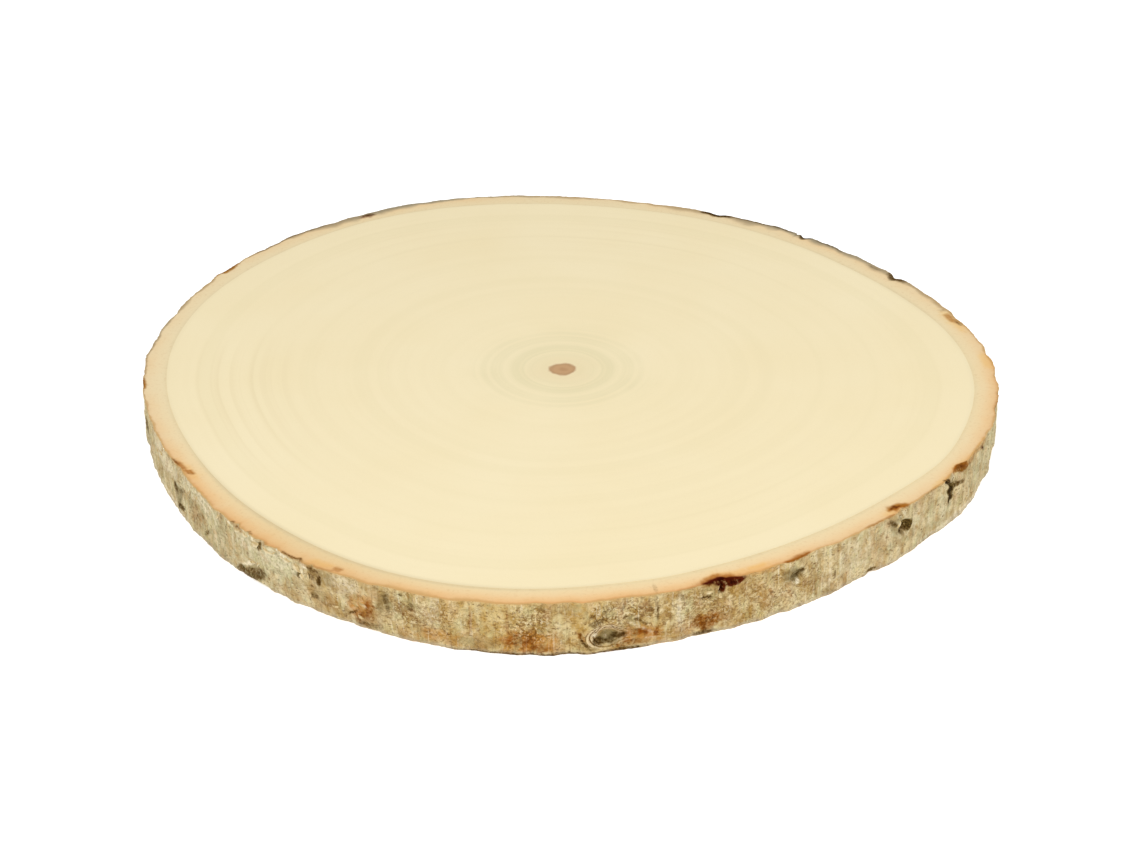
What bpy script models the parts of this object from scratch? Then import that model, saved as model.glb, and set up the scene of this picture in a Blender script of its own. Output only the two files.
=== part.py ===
"""Poplar wood slice: one round sawn across a poplar log, with its bark still on.

The slice grew as one piece, so it is one solid. It lies flat on its sawn underside, in metres:
+X to the right, +Y away from the viewer, +Z up, with the origin under the middle of its outline.
Azimuths are in degrees, counted from +X towards +Y, so the front of the slice is at 270.
"""

import math
from typing import NamedTuple

import bmesh
import bpy
from mathutils import Vector, noise

MM = 0.001

# The log and the two saw cuts.
MEAN_RADIUS = 175 * MM  # over the bark
THICKNESS = 22 * MM
BARK_THICKNESS = 9.5 * MM

# The facets: each wall row is about as high as a side is wide.
SIDES = 300
ROWS = 8
REFINED_MARGIN = 3 * MM  # round each knot, where the facets are half as large

# The log isn't round: (lobes round the trunk, share of the radius, azimuth of a crest).
LOBES = (
    (2, 0.0097, -48.4),
    (3, 0.0238, 7.2),
    (4, 0.0090, -9.0),
    (5, 0.0035, -28.5),
    (6, 0.0041, -1.1),
)

# Where the underside is drawn in (or, if negative, flares out) below the upper rim:
# (azimuth, half width in degrees, distance).
WALL_LEANS = (
    (243, 23, 4.2 * MM),
    (332, 10, -1.1 * MM),
    (95, 30, -1.5 * MM),
)

# Long shallow flutes up the bark: (flutes round the trunk, depth, phase, twist in radians).
FLUTES = (
    (41, 0.40 * MM, 0.3, 0.5),
    (67, 0.28 * MM, 1.9, -0.7),
    (97, 0.22 * MM, 4.1, 0.4),
)

# Blotches of thicker and thinner outer bark: (size, depth).
BLOTCHES = (
    (16 * MM, 0.55 * MM),
    (7 * MM, 0.45 * MM),
)

# The ragged saw cut round each rim, with the layer of noise that each one takes.
RIM_RAGGEDNESS = 0.4 * MM
RIM_GRAIN = 6 * MM
RIM_BAND = 0.1 * MM
UPPER_RIM_LAYER = 7.3
LOWER_RIM_LAYER = 3.1

# A hump fades to an eighth of its height at its half width.
HUMP_FADE = 2.0
# A knot's lip and pit, as shares of its half width.
LIP_SPREAD = 0.42
PIT_SPREAD = 0.85

# The materials' places on the mesh.
WOOD, SAWN_BARK, OUTSIDE = range(3)
SHARP_EDGE = 40  # degrees


class Knot(NamedTuple):
    """A scar where a twig grew: a lip of callus round a sunken middle."""

    azimuth: float
    height: float
    half_width: float
    half_height: float
    pit: float
    lip: float


class Crack(NamedTuple):
    """A split in the bark, from one point of the wall to another."""

    azimuth: float
    height: float
    end_azimuth: float
    end_height: float
    half_width: float
    depth: float


class Chip(NamedTuple):
    """A bite that the saw took out of the bark's rim."""

    azimuth: float
    half_width: float
    depth: float


KNOTS = (
    Knot(275.2, 6.9 * MM, 8.6 * MM, 3.9 * MM, 1.5 * MM, 1.3 * MM),
    Knot(300.4, 14.2 * MM, 4.4 * MM, 3.0 * MM, 1.1 * MM, 0.7 * MM),
    Knot(318.6, 14.6 * MM, 4.8 * MM, 4.4 * MM, 1.4 * MM, 0.9 * MM),
    Knot(229.0, 6.4 * MM, 7.0 * MM, 4.6 * MM, 2.0 * MM, 0.5 * MM),
    Knot(209.3, 10.0 * MM, 3.6 * MM, 5.6 * MM, 1.0 * MM, 0.5 * MM),
    Knot(246.9, 9.0 * MM, 6.0 * MM, 4.6 * MM, 1.1 * MM, 0.4 * MM),
    # The side away from the viewer.
    Knot(22.0, 11.5 * MM, 6.5 * MM, 4.0 * MM, 1.4 * MM, 1.0 * MM),
    Knot(78.0, 8.0 * MM, 4.6 * MM, 4.0 * MM, 1.2 * MM, 0.8 * MM),
    Knot(121.0, 13.0 * MM, 8.0 * MM, 4.2 * MM, 1.5 * MM, 1.2 * MM),
    Knot(163.0, 9.0 * MM, 4.2 * MM, 4.6 * MM, 1.1 * MM, 0.7 * MM),
)

CRACKS = (
    # The forked split at the right.
    Crack(328.2, 20.5 * MM, 330.0, 16.5 * MM, 1.5 * MM, 1.2 * MM),
    Crack(332.4, 19.5 * MM, 330.0, 16.5 * MM, 1.5 * MM, 1.0 * MM),
    Crack(330.0, 17.0 * MM, 329.6, 9.5 * MM, 1.4 * MM, 1.4 * MM),
    # Under the torn rim at the front.
    Crack(289.9, 21.5 * MM, 289.4, 16.5 * MM, 1.4 * MM, 1.2 * MM),
    # The side away from the viewer.
    Crack(50.0, 22.0 * MM, 51.5, 4.0 * MM, 1.5 * MM, 1.2 * MM),
    Crack(142.0, 19.0 * MM, 141.0, 6.0 * MM, 1.5 * MM, 1.0 * MM),
)

UPPER_CHIPS = (
    Chip(289.8, 7.5 * MM, 2.2 * MM),
    Chip(318.3, 5.0 * MM, 1.2 * MM),
    Chip(332.3, 4.5 * MM, 1.4 * MM),
    Chip(231.2, 3.0 * MM, 1.4 * MM),
    Chip(209.7, 5.5 * MM, 1.0 * MM),
    Chip(64.3, 4.5 * MM, 2.0 * MM),
    Chip(48.5, 2.6 * MM, 1.9 * MM),
    Chip(29.5, 2.8 * MM, 2.0 * MM),
    Chip(140.0, 4.0 * MM, 1.2 * MM),
)

LOWER_CHIPS = (
    Chip(229.5, 6.0 * MM, 2.2 * MM),
    Chip(247.5, 5.0 * MM, 1.5 * MM),
    Chip(313.4, 3.0 * MM, 1.3 * MM),
    Chip(12.0, 5.0 * MM, 1.5 * MM),
    Chip(104.0, 6.0 * MM, 1.6 * MM),
    Chip(176.0, 4.0 * MM, 1.4 * MM),
)

# Colours as linear red, green and blue, with the roughness of dry, sanded wood and of bark.
SAPWOOD = ("poplar_sapwood", (0.89, 0.79, 0.52), 0.62)
INNER_BARK = ("poplar_inner_bark", (0.80, 0.58, 0.32), 0.70)
OUTER_BARK = ("poplar_outer_bark", (0.50, 0.38, 0.20), 0.88)


def hump(distance: float, half_width: float) -> float:
    """1 at the middle, fading smoothly to nothing at about two half widths."""
    return math.exp(-HUMP_FADE * (distance / half_width) ** 2)


def turn_between(azimuth: float, other: float) -> float:
    """The shortest turn from one azimuth to another, in degrees."""
    return (azimuth - other + 180) % 360 - 180


def arc_between(azimuth: float, other: float) -> float:
    """The distance round the wall from one azimuth to another."""
    return math.radians(turn_between(azimuth, other)) * MEAN_RADIUS


def trunk_radius(azimuth: float) -> float:
    """The log's smooth outline, over the bark."""
    lobes = sum(
        share * math.cos(math.radians(count * (azimuth - crest)))
        for count, share, crest in LOBES
    )
    return MEAN_RADIUS * (1 + lobes)


def knot_relief(knot: Knot, azimuth: float, height: float) -> float:
    """A ring of callus round a pit."""
    across = arc_between(azimuth, knot.azimuth) / knot.half_width
    up = (height - knot.height) / knot.half_height
    reach = math.hypot(across, up)
    return knot.lip * hump(reach - 1, LIP_SPREAD) - knot.pit * hump(reach, PIT_SPREAD)


def crack_relief(crack: Crack, azimuth: float, height: float) -> float:
    """A groove along the crack's line."""
    start = Vector((0.0, crack.height))
    end = Vector((arc_between(crack.end_azimuth, crack.azimuth), crack.end_height))
    here = Vector((arc_between(azimuth, crack.azimuth), height))
    run = end - start
    along = max(0.0, min(1.0, (here - start).dot(run) / run.length_squared))
    return -crack.depth * hump((here - start - run * along).length, crack.half_width)


def bark_relief(azimuth: float, height: float) -> float:
    """How far the bark stands out from the smooth trunk, or lies in it."""
    turn = math.radians(azimuth)
    rise = height / THICKNESS
    flutes = sum(
        depth * math.sin(count * turn + phase + twist * rise)
        for count, depth, phase, twist in FLUTES
    )
    place = Vector((math.cos(turn), math.sin(turn), 0)) * MEAN_RADIUS
    place.z = height
    blotches = sum(depth * noise.noise(place / size) for size, depth in BLOTCHES)
    knots = sum(knot_relief(knot, azimuth, height) for knot in KNOTS)
    cracks = sum(crack_relief(crack, azimuth, height) for crack in CRACKS)
    return flutes + blotches + knots + cracks


def rim_loss(azimuth: float, chips: tuple, layer: float) -> float:
    """How far a sawn rim lies back from the bark: its chips, and the ragged cut."""
    turn = math.radians(azimuth)
    place = Vector((math.cos(turn), math.sin(turn), 0)) * (MEAN_RADIUS / RIM_GRAIN)
    place.z = layer
    torn = sum(
        chip.depth * hump(arc_between(azimuth, chip.azimuth), chip.half_width)
        for chip in chips
    )
    return torn + RIM_RAGGEDNESS * noise.noise(place)


def wall_radius(azimuth: float, height: float) -> float:
    """The bark's surface at this azimuth and height."""
    radius = trunk_radius(azimuth) + bark_relief(azimuth, height)
    for middle, half_width, distance in WALL_LEANS:
        share = hump(turn_between(azimuth, middle), half_width)
        radius -= distance * share * (1 - height / THICKNESS)
    if height > THICKNESS - RIM_BAND:
        radius -= rim_loss(azimuth, UPPER_CHIPS, UPPER_RIM_LAYER)
    if height < RIM_BAND:
        radius -= rim_loss(azimuth, LOWER_CHIPS, LOWER_RIM_LAYER)
    return radius


def faces_the_side(face: bmesh.types.BMFace) -> bool:
    """Whether a face of the plain disc is part of its wall."""
    return abs(face.normal.z) < 0.5


def straight_disc() -> bmesh.types.BMesh:
    """A plain round disc from z = 0 up, its wall cut into rows, with a ring of bark on each face."""
    disc = bmesh.new()
    bmesh.ops.create_cone(
        disc,
        cap_ends=True,
        segments=SIDES,
        radius1=MEAN_RADIUS,
        radius2=MEAN_RADIUS,
        depth=THICKNESS,
    )
    bmesh.ops.translate(disc, verts=disc.verts, vec=(0, 0, THICKNESS / 2))
    for row in range(1, ROWS):
        bmesh.ops.bisect_plane(
            disc,
            geom=[*disc.verts, *disc.edges, *disc.faces],
            plane_co=(0, 0, THICKNESS * row / ROWS),
            plane_no=(0, 0, 1),
        )
    sawn = []
    for face in disc.faces:
        if faces_the_side(face):
            face.material_index = OUTSIDE
        else:
            face.material_index = WOOD
            sawn.append(face)
    rings = bmesh.ops.inset_individual(disc, faces=sawn, thickness=BARK_THICKNESS)["faces"]
    for face in rings:
        face.material_index = SAWN_BARK
    bmesh.ops.poke(disc, faces=sawn)
    return disc


def azimuth_of(place: Vector) -> float:
    """The azimuth of a point, from 0 to 360."""
    return math.degrees(math.atan2(place.y, place.x)) % 360


def near_a_knot(place: Vector) -> bool:
    """Whether a point of the wall lies on a knot or just round it."""
    return any(
        abs(arc_between(azimuth_of(place), knot.azimuth)) < knot.half_width + REFINED_MARGIN
        and abs(place.z - knot.height) < knot.half_height + REFINED_MARGIN
        for knot in KNOTS
    )


def refine_knots(disc: bmesh.types.BMesh) -> None:
    """Halves the wall's facets round each knot, so that its lip and pit read."""
    close = [
        face
        for face in disc.faces
        if faces_the_side(face) and near_a_knot(face.calc_center_median())
    ]
    edges = {edge for face in close for edge in face.edges}
    bmesh.ops.subdivide_edges(disc, edges=list(edges), cuts=1, use_grid_fill=True)


def shape_like_a_log(disc: bmesh.types.BMesh) -> None:
    """Moves each point of the disc out or in to the log's outline, and its bark to its relief."""
    for vertex in disc.verts:
        azimuth = azimuth_of(vertex.co)
        reach = math.hypot(vertex.co.x, vertex.co.y)
        on_the_wall = reach > MEAN_RADIUS - BARK_THICKNESS / 2
        if on_the_wall:
            radius = wall_radius(azimuth, vertex.co.z)
        else:
            radius = reach / MEAN_RADIUS * trunk_radius(azimuth)
        turn = math.radians(azimuth)
        vertex.co.x = radius * math.cos(turn)
        vertex.co.y = radius * math.sin(turn)


def centre_on_origin(disc: bmesh.types.BMesh) -> None:
    """Puts the middle of the outline over the origin."""
    across = [vertex.co.x for vertex in disc.verts]
    away = [vertex.co.y for vertex in disc.verts]
    middle = Vector((min(across) + max(across), min(away) + max(away), 0)) / 2
    bmesh.ops.translate(disc, verts=disc.verts, vec=-middle)


def material(name: str, colour: tuple, roughness: float) -> bpy.types.Material:
    """A plain matt material of one colour."""
    made = bpy.data.materials.new(name)
    made.use_nodes = True
    shader = made.node_tree.nodes["Principled BSDF"]
    shader.inputs["Base Color"].default_value = (*colour, 1)
    shader.inputs["Roughness"].default_value = roughness
    return made


def wood_slice() -> bpy.types.Object:
    """The whole slice: sawn wood and bark in one solid."""
    disc = straight_disc()
    refine_knots(disc)
    shape_like_a_log(disc)
    centre_on_origin(disc)
    bmesh.ops.triangulate(disc, faces=disc.faces)
    bmesh.ops.recalc_face_normals(disc, faces=disc.faces)
    mesh = bpy.data.meshes.new("wood_slice")
    disc.to_mesh(mesh)
    disc.free()
    for finish in (SAPWOOD, INNER_BARK, OUTER_BARK):
        mesh.materials.append(material(*finish))
    mesh.shade_smooth()
    mesh.set_sharp_from_angle(angle=math.radians(SHARP_EDGE))
    return bpy.data.objects.new("wood_slice", mesh)


def main() -> None:
    """Clears the scene and builds the slice in its own collection."""
    for thing in list(bpy.data.objects):
        bpy.data.objects.remove(thing)
    collection = bpy.data.collections.new("poplar_wood_slice")
    bpy.context.scene.collection.children.link(collection)
    collection.objects.link(wood_slice())


main()
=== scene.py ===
"""Looks of a poplar wood slice: one round sawn across a poplar log, with its bark still on.

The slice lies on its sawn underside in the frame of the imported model: +X to the right, +Y away
from the viewer, +Z up, origin under the middle of its outline. Sizes here are in millimetres and
are turned to metres as a mesh or a material takes them. Azimuths are in degrees, counted from +X
towards +Y, so the front of the slice is at 270.

A place on the bark is an azimuth and a lie: the height on the wall, from 0 at the lower rim to 22
at the upper one. Past a rim it runs on across the sawn edge of the bark, so 24 is 2 mm in from
the upper rim.
"""

from __future__ import annotations

import logging
import math
from dataclasses import dataclass, field
from enum import Enum
from functools import reduce
from typing import Callable

import bmesh
import bpy
import numpy as np
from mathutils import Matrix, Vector, noise


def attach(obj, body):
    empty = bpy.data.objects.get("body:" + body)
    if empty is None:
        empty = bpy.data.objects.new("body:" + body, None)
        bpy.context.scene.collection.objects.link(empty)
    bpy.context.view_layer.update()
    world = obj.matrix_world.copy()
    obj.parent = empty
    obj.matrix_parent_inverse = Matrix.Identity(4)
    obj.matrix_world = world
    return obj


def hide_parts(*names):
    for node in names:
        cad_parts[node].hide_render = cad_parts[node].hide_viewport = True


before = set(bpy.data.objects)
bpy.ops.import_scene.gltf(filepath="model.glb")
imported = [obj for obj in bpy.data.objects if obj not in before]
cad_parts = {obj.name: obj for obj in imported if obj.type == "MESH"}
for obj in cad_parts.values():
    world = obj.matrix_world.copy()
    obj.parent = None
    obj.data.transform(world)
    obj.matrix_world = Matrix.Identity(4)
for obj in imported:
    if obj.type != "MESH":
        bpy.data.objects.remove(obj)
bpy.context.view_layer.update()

log = logging.getLogger("poplar_wood_slice")

MM = 0.001
NODE = "wood_slice"
BODY = "root"
FOLDS = (31.4, 2.4)  # turns the way out from a knot's middle into the folds round it
NEAR = 0.01  # places closer than this, in millimetres, count as touching
Size = float | tuple[float, float, float]  # of a noise's features: one for all axes, or one each
Socket = bpy.types.NodeSocket


# Small helpers for shapes


def hump(distance: np.ndarray, half_width: float) -> np.ndarray:
    """1 at the middle, an eighth at the half width, fading smoothly to nothing."""
    return np.exp(-2.0 * (distance / half_width) ** 2)


def ease(value: np.ndarray, low: float, high: float) -> np.ndarray:
    """Rises smoothly from 0 at low to 1 at high, which may be the smaller of the two."""
    share = np.clip((value - low) / (high - low), 0.0, 1.0)
    return share * share * (3.0 - 2.0 * share)


def turn_between(azimuth: np.ndarray, other: float) -> np.ndarray:
    """The shortest turn from one azimuth to another, in degrees."""
    return (azimuth - other + 180.0) % 360.0 - 180.0


def grain(places: np.ndarray, size: Size, layer: float = 0.0) -> np.ndarray:
    """Smooth noise, from about -1 to 1.

    Args:
        places: points in millimetres, one a row.
        size: the size of the noise's features, in millimetres, or one for each axis.
        layer: a shift that gives another pattern.

    Returns:
        One value for each point.
    """
    scaled = (places / np.asarray(size) + layer).tolist()
    return np.fromiter((noise.noise(place) for place in scaled), float, len(scaled))


def ridges(places: np.ndarray, size: Size, layer: float = 0.0) -> np.ndarray:
    """Thin winding crests: 1 on a crest, falling to 0 between them."""
    return 1.0 - np.clip(np.abs(grain(places, size, layer)) * 4.0, 0.0, 1.0)


# The log


@dataclass(frozen=True)
class Knot:
    """A scar where a twig grew: a lip of callus round a sunken middle."""

    azimuth: float
    height: float
    half_width: float
    half_height: float
    pit: float
    lip: float
    folds: float = 0.0  # height of the folds of callus round it


@dataclass(frozen=True)
class Crack:
    """A split in the bark, from one place on it to another."""

    azimuth: float
    height: float
    end_azimuth: float
    end_height: float
    half_width: float
    depth: float


@dataclass(frozen=True)
class Chip:
    """A bite that the saw took out of the bark's rim."""

    azimuth: float
    half_width: float
    depth: float


@dataclass(frozen=True)
class Trunk:
    """The log's outline, its wall and what grew on it.

    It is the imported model's own, with finer chips, and with one knot and one crack moved by about
    a millimetre.
    """

    mean_radius: float = 175.0
    thickness: float = 22.0
    # Lobes round the trunk, share of the radius, azimuth of a crest.
    lobes: tuple = (
        (2, 0.0097, -48.4),
        (3, 0.0238, 7.2),
        (4, 0.0090, -9.0),
        (5, 0.0035, -28.5),
        (6, 0.0041, -1.1),
    )
    # Azimuth, half width in degrees, how far the underside is drawn in.
    leans: tuple = (
        (243, 23, 4.2),
        (332, 10, -1.1),
        (95, 30, -1.5),
        (272, 9, -0.8),
        (310, 4, 1.4),
        (325, 5, 0.9),
    )
    # The same for the top of the wall.
    upper_leans: tuple = (
        (247, 17, 1.5),
        (124, 7, 1.4),
        (76, 8, 0.9),
        (164, 9, 0.9),
        (4, 8, -0.6),
        (52, 6, -0.6),
        (290, 12, -0.7),
    )
    # Where the log is smoother: azimuth, half width in degrees, share of its relief that is missing.
    smooth_sides: tuple = ((206, 18, 0.65), (328, 16, 0.4))
    # Flutes round the trunk, depth, phase, twist.
    flutes: tuple = ((41, 0.24, 0.3, 0.5), (67, 0.18, 1.9, -0.7), (97, 0.14, 4.1, 0.4))
    # Size and depth of the blotches of thicker bark.
    blotches: tuple = ((16.0, 0.55), (7.0, 0.45))
    knots: tuple = (
        Knot(275.5, 7.1, 7.2, 4.7, 1.5, 1.1, 0.4),
        Knot(300.4, 14.2, 4.4, 3.0, 1.1, 0.7),
        Knot(318.6, 14.6, 4.8, 4.4, 1.4, 0.9),
        Knot(229.0, 6.4, 7.0, 4.6, 2.0, 0.5),
        Knot(209.3, 10.0, 3.6, 5.6, 1.0, 0.5),
        Knot(246.9, 9.0, 6.0, 4.6, 1.1, 0.4),
        Knot(22.0, 11.5, 6.5, 4.0, 1.4, 1.0),
        Knot(78.0, 8.0, 4.6, 4.0, 1.2, 0.8),
        Knot(121.0, 13.0, 8.0, 4.2, 1.5, 1.2, 0.4),
        Knot(163.0, 9.0, 4.2, 4.6, 1.1, 0.7),
    )
    cracks: tuple = (
        Crack(328.2, 20.5, 330.0, 16.5, 0.9, 1.3),
        Crack(332.4, 19.5, 330.0, 16.5, 0.9, 1.1),
        Crack(330.0, 17.0, 329.6, 9.5, 0.8, 1.4),
        Crack(289.8, 21.0, 289.4, 17.5, 0.9, 1.5),
        Crack(288.4, 15.6, 286.8, 16.3, 0.6, 0.8),
        Crack(50.0, 22.0, 51.5, 4.0, 0.9, 1.2),
        Crack(142.0, 19.0, 141.0, 6.0, 0.9, 1.0),
    )
    upper_chips: tuple = (
        Chip(289.8, 7.5, 2.2),
        Chip(318.3, 5.0, 1.2),
        Chip(332.3, 4.5, 1.4),
        Chip(231.2, 3.0, 1.4),
        Chip(226.2, 1.5, 1.3),
        Chip(228.5, 1.2, 1.0),
        Chip(233.8, 1.3, 0.8),
        Chip(237.6, 1.5, 1.2),
        Chip(239.6, 1.1, 1.0),
        Chip(209.7, 5.5, 1.0),
        Chip(64.3, 4.5, 2.0),
        Chip(48.5, 2.6, 1.9),
        Chip(29.5, 2.8, 2.0),
        Chip(140.0, 4.0, 1.2),
    )
    lower_chips: tuple = (
        Chip(229.5, 7.0, 1.2),
        Chip(247.5, 5.0, 0.9),
        Chip(313.4, 3.0, 1.3),
        Chip(12.0, 5.0, 1.5),
        Chip(104.0, 6.0, 1.6),
        Chip(176.0, 4.0, 1.4),
    )
    # Mean width of the bark, and where it is wider or narrower: azimuth, half width, change.
    bark_width: float = 9.9
    bark_changes: tuple = (
        (240, 22, 2.1),
        (333, 12, -1.6),
        (32, 24, 2.1),
        (155, 24, -1.3),
        (283, 6, -0.5),
    )
    # How plain the cambium's grey line is, and where it is plainer: azimuth, half width, share.
    cambium_floor: float = 0.25
    cambium_changes: tuple = ((232, 40, 0.75), (262, 22, 0.35), (300, 30, 0.2), (30, 40, 0.2))
    # Width of the ragged band along a sawn rim, and what gives each rim a cut of its own.
    rim_band: float = 1.3
    upper_cut: float = 7.3
    lower_cut: float = 3.1

    def radius(self, azimuth: np.ndarray) -> np.ndarray:
        """The smooth outline, over the bark."""
        lobes = sum(
            share * np.cos(np.radians(count * (azimuth - crest)))
            for count, share, crest in self.lobes
        )
        return self.mean_radius * (1.0 + lobes)

    @staticmethod
    def around(azimuth: np.ndarray, parts: tuple) -> np.ndarray:
        """Sums humps, each an azimuth, a half width in degrees and an amount."""
        return sum(
            amount * hump(turn_between(azimuth, middle), width) for middle, width, amount in parts
        )

    def middle(self) -> tuple[float, float]:
        """Finds the middle of the outline's box, which the model's origin is under.

        Returns:
            Its x and y, in millimetres.
        """
        azimuth = np.linspace(0.0, 360.0, 3601)
        across = self.radius(azimuth) * np.cos(np.radians(azimuth))
        away = self.radius(azimuth) * np.sin(np.radians(azimuth))
        return (across.min() + across.max()) / 2, (away.min() + away.max()) / 2

    def wood_radius(self, azimuth: np.ndarray) -> np.ndarray:
        """Finds the edge of the wood, under the bark.

        Args:
            azimuth: azimuths in degrees.

        Returns:
            The wood's radius at each.
        """
        width = self.bark_width + self.around(azimuth, self.bark_changes)
        width = width + 0.4 * grain(self.places(azimuth, np.zeros_like(azimuth)), 45.0, 5.0)
        return self.radius(azimuth) - width

    def cambium(self, azimuth: np.ndarray) -> np.ndarray:
        """Finds how plain the cambium's grey line is.

        Args:
            azimuth: azimuths in degrees.

        Returns:
            A value from 0 to 1 at each.
        """
        plain = self.cambium_floor + self.around(azimuth, self.cambium_changes)
        patchy = 0.2 * grain(self.places(azimuth, np.zeros_like(azimuth)), 12.0, 31.0)
        return np.clip(plain + patchy, 0.0, 1.0)

    def places(self, azimuth: np.ndarray, height: np.ndarray) -> np.ndarray:
        """Points on a plain round wall, which the noise is read at."""
        turn = np.radians(azimuth)
        return np.stack(
            [np.cos(turn) * self.mean_radius, np.sin(turn) * self.mean_radius, height], axis=1
        )

    def points(self, azimuth: np.ndarray, radius: np.ndarray, height: np.ndarray) -> np.ndarray:
        """Turns places about the log's middle into points from the model's origin.

        Args:
            azimuth: azimuths in degrees.
            radius: how far each is from the log's middle.
            height: how high each is.

        Returns:
            The points in millimetres, one a row.
        """
        turn = np.radians(azimuth)
        middle_x, middle_y = self.middle()
        return np.column_stack(
            [radius * np.cos(turn) - middle_x, radius * np.sin(turn) - middle_y, height]
        )

    def arc(self, azimuth: np.ndarray, other: float) -> np.ndarray:
        """The distance round the wall from an azimuth."""
        return np.radians(turn_between(azimuth, other)) * self.mean_radius

    def knot_reach(self, knot: Knot, azimuth: np.ndarray, height: np.ndarray) -> np.ndarray:
        """Finds how far out from a knot each place is.

        Args:
            knot: the knot.
            azimuth: azimuths in degrees.
            height: heights on the wall, in millimetres.

        Returns:
            0 at its middle, 1 on its lip, and more beyond it.
        """
        across = self.arc(azimuth, knot.azimuth) / knot.half_width
        up = (height - knot.height) / knot.half_height
        if knot.folds:
            # A round head, drawn out to a tail on the right.
            across = across / (1.0 + 1.3 * ease(across, 0.2, 2.2))
            up = up * (1.0 + 0.5 * ease(across, 0.2, 0.9))
        return np.hypot(across, up)

    def knot_relief(self, knot: Knot, azimuth: np.ndarray, height: np.ndarray) -> np.ndarray:
        """Shapes a ring of callus round a pit, with its folds.

        Args:
            knot: the knot.
            azimuth: azimuths in degrees.
            height: heights on the wall, in millimetres.

        Returns:
            How far the bark stands out at each place.
        """
        reach = self.knot_reach(knot, azimuth, height)
        folds = knot.folds * np.sin(reach * FOLDS[0] + FOLDS[1]) * hump(reach - 0.84, 0.3)
        return knot.lip * hump(reach - 1.0, 0.42) - knot.pit * hump(reach, 0.85) + folds

    def eye(self, azimuth: np.ndarray, height: np.ndarray) -> np.ndarray:
        """How far out a place is from the nearest knot that has folds, at most 3."""
        reaches = [self.knot_reach(knot, azimuth, height) for knot in self.knots if knot.folds]
        return np.minimum(np.min(reaches, axis=0), 3.0)

    def folded(self, azimuth: np.ndarray, height: np.ndarray) -> np.ndarray:
        """Finds how plain a knot's folds of callus are: most on its upper left.

        Args:
            azimuth: azimuths in degrees.
            height: heights on the wall, in millimetres.

        Returns:
            A value from 0 to 1 at each place.
        """
        plain = np.zeros_like(azimuth)
        for knot in self.knots:
            if knot.folds:
                reach = self.knot_reach(knot, azimuth, height)
                across = self.arc(azimuth, knot.azimuth) / knot.half_width
                up = (height - knot.height) / knot.half_height
                side = ease((up - 1.2 * across) / (np.hypot(across, up) + 0.2), -0.9, 0.7)
                shown = ease(reach, 1.16, 1.0) * ease(reach, 0.4, 0.58) * ease(across, 1.5, 0.8)
                plain = np.maximum(plain, shown * (0.5 + 0.5 * side))
        return plain

    def crack_relief(self, crack: Crack, azimuth: np.ndarray, height: np.ndarray) -> np.ndarray:
        """Cuts a groove along a crack's line.

        Args:
            crack: the crack.
            azimuth: azimuths in degrees.
            height: heights on the wall, in millimetres.

        Returns:
            How far the bark stands out at each place, none of it above 0.
        """
        across = self.arc(azimuth, crack.azimuth)
        up = height - crack.height
        run_across = math.radians(crack.end_azimuth - crack.azimuth) * self.mean_radius
        run_up = crack.end_height - crack.height
        length = run_across**2 + run_up**2
        along = np.clip((across * run_across + up * run_up) / length, 0.0, 1.0)
        distance = np.hypot(across - along * run_across, up - along * run_up)
        return -crack.depth * hump(distance, crack.half_width)

    def relief(self, azimuth: np.ndarray, height: np.ndarray) -> np.ndarray:
        """Adds up what stands out from the smooth trunk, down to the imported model's detail.

        Args:
            azimuth: azimuths in degrees.
            height: heights on the wall, in millimetres.

        Returns:
            How far the bark stands out at each place.
        """
        turn = np.radians(azimuth)
        rise = height / self.thickness
        places = self.places(azimuth, height)
        flutes = sum(
            depth * np.sin(count * turn + phase + twist * rise)
            for count, depth, phase, twist in self.flutes
        )
        blotches = sum(depth * grain(places, size) for size, depth in self.blotches)
        knots = sum(self.knot_relief(knot, azimuth, height) for knot in self.knots)
        cracks = sum(self.crack_relief(crack, azimuth, height) for crack in self.cracks)
        smooth = self.around(azimuth, self.smooth_sides)
        return (flutes + blotches) * (1.0 - smooth) + knots + cracks

    def rim_loss(self, azimuth: np.ndarray, chips: tuple, layer: float) -> np.ndarray:
        """Finds how far a sawn rim lies back from the bark: its chips, and the ragged cut.

        Args:
            azimuth: azimuths in degrees.
            chips: the rim's chips.
            layer: gives each rim a ragged cut of its own.

        Returns:
            How far back it lies at each azimuth.
        """
        places = self.places(azimuth, np.zeros_like(azimuth))
        torn = sum(
            chip.depth * hump(self.arc(azimuth, chip.azimuth), chip.half_width) for chip in chips
        )
        return torn + 0.2 * grain(places, 6.0, layer) + 0.14 * grain(places, 1.7, layer)

    def wall(self, azimuth: np.ndarray, height: np.ndarray) -> np.ndarray:
        """Finds the bark's surface.

        Args:
            azimuth: azimuths in degrees.
            height: heights on the wall, in millimetres.

        Returns:
            Its radius at each place.
        """
        rise = height / self.thickness
        radius = self.radius(azimuth) + self.relief(azimuth, height)
        radius = radius - self.around(azimuth, self.leans) * (1.0 - rise)
        radius = radius - self.around(azimuth, self.upper_leans) * rise**2
        upper = hump(self.thickness - height, self.rim_band)
        lower = hump(height, self.rim_band)
        radius = radius - upper * self.rim_loss(azimuth, self.upper_chips, self.upper_cut)
        return radius - lower * self.rim_loss(azimuth, self.lower_chips, self.lower_cut)


# Making meshes


class Element(Enum):
    """What edit mode selects, by the name of its list in a mesh."""

    EDGE = "edges"
    FACE = "faces"


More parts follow.
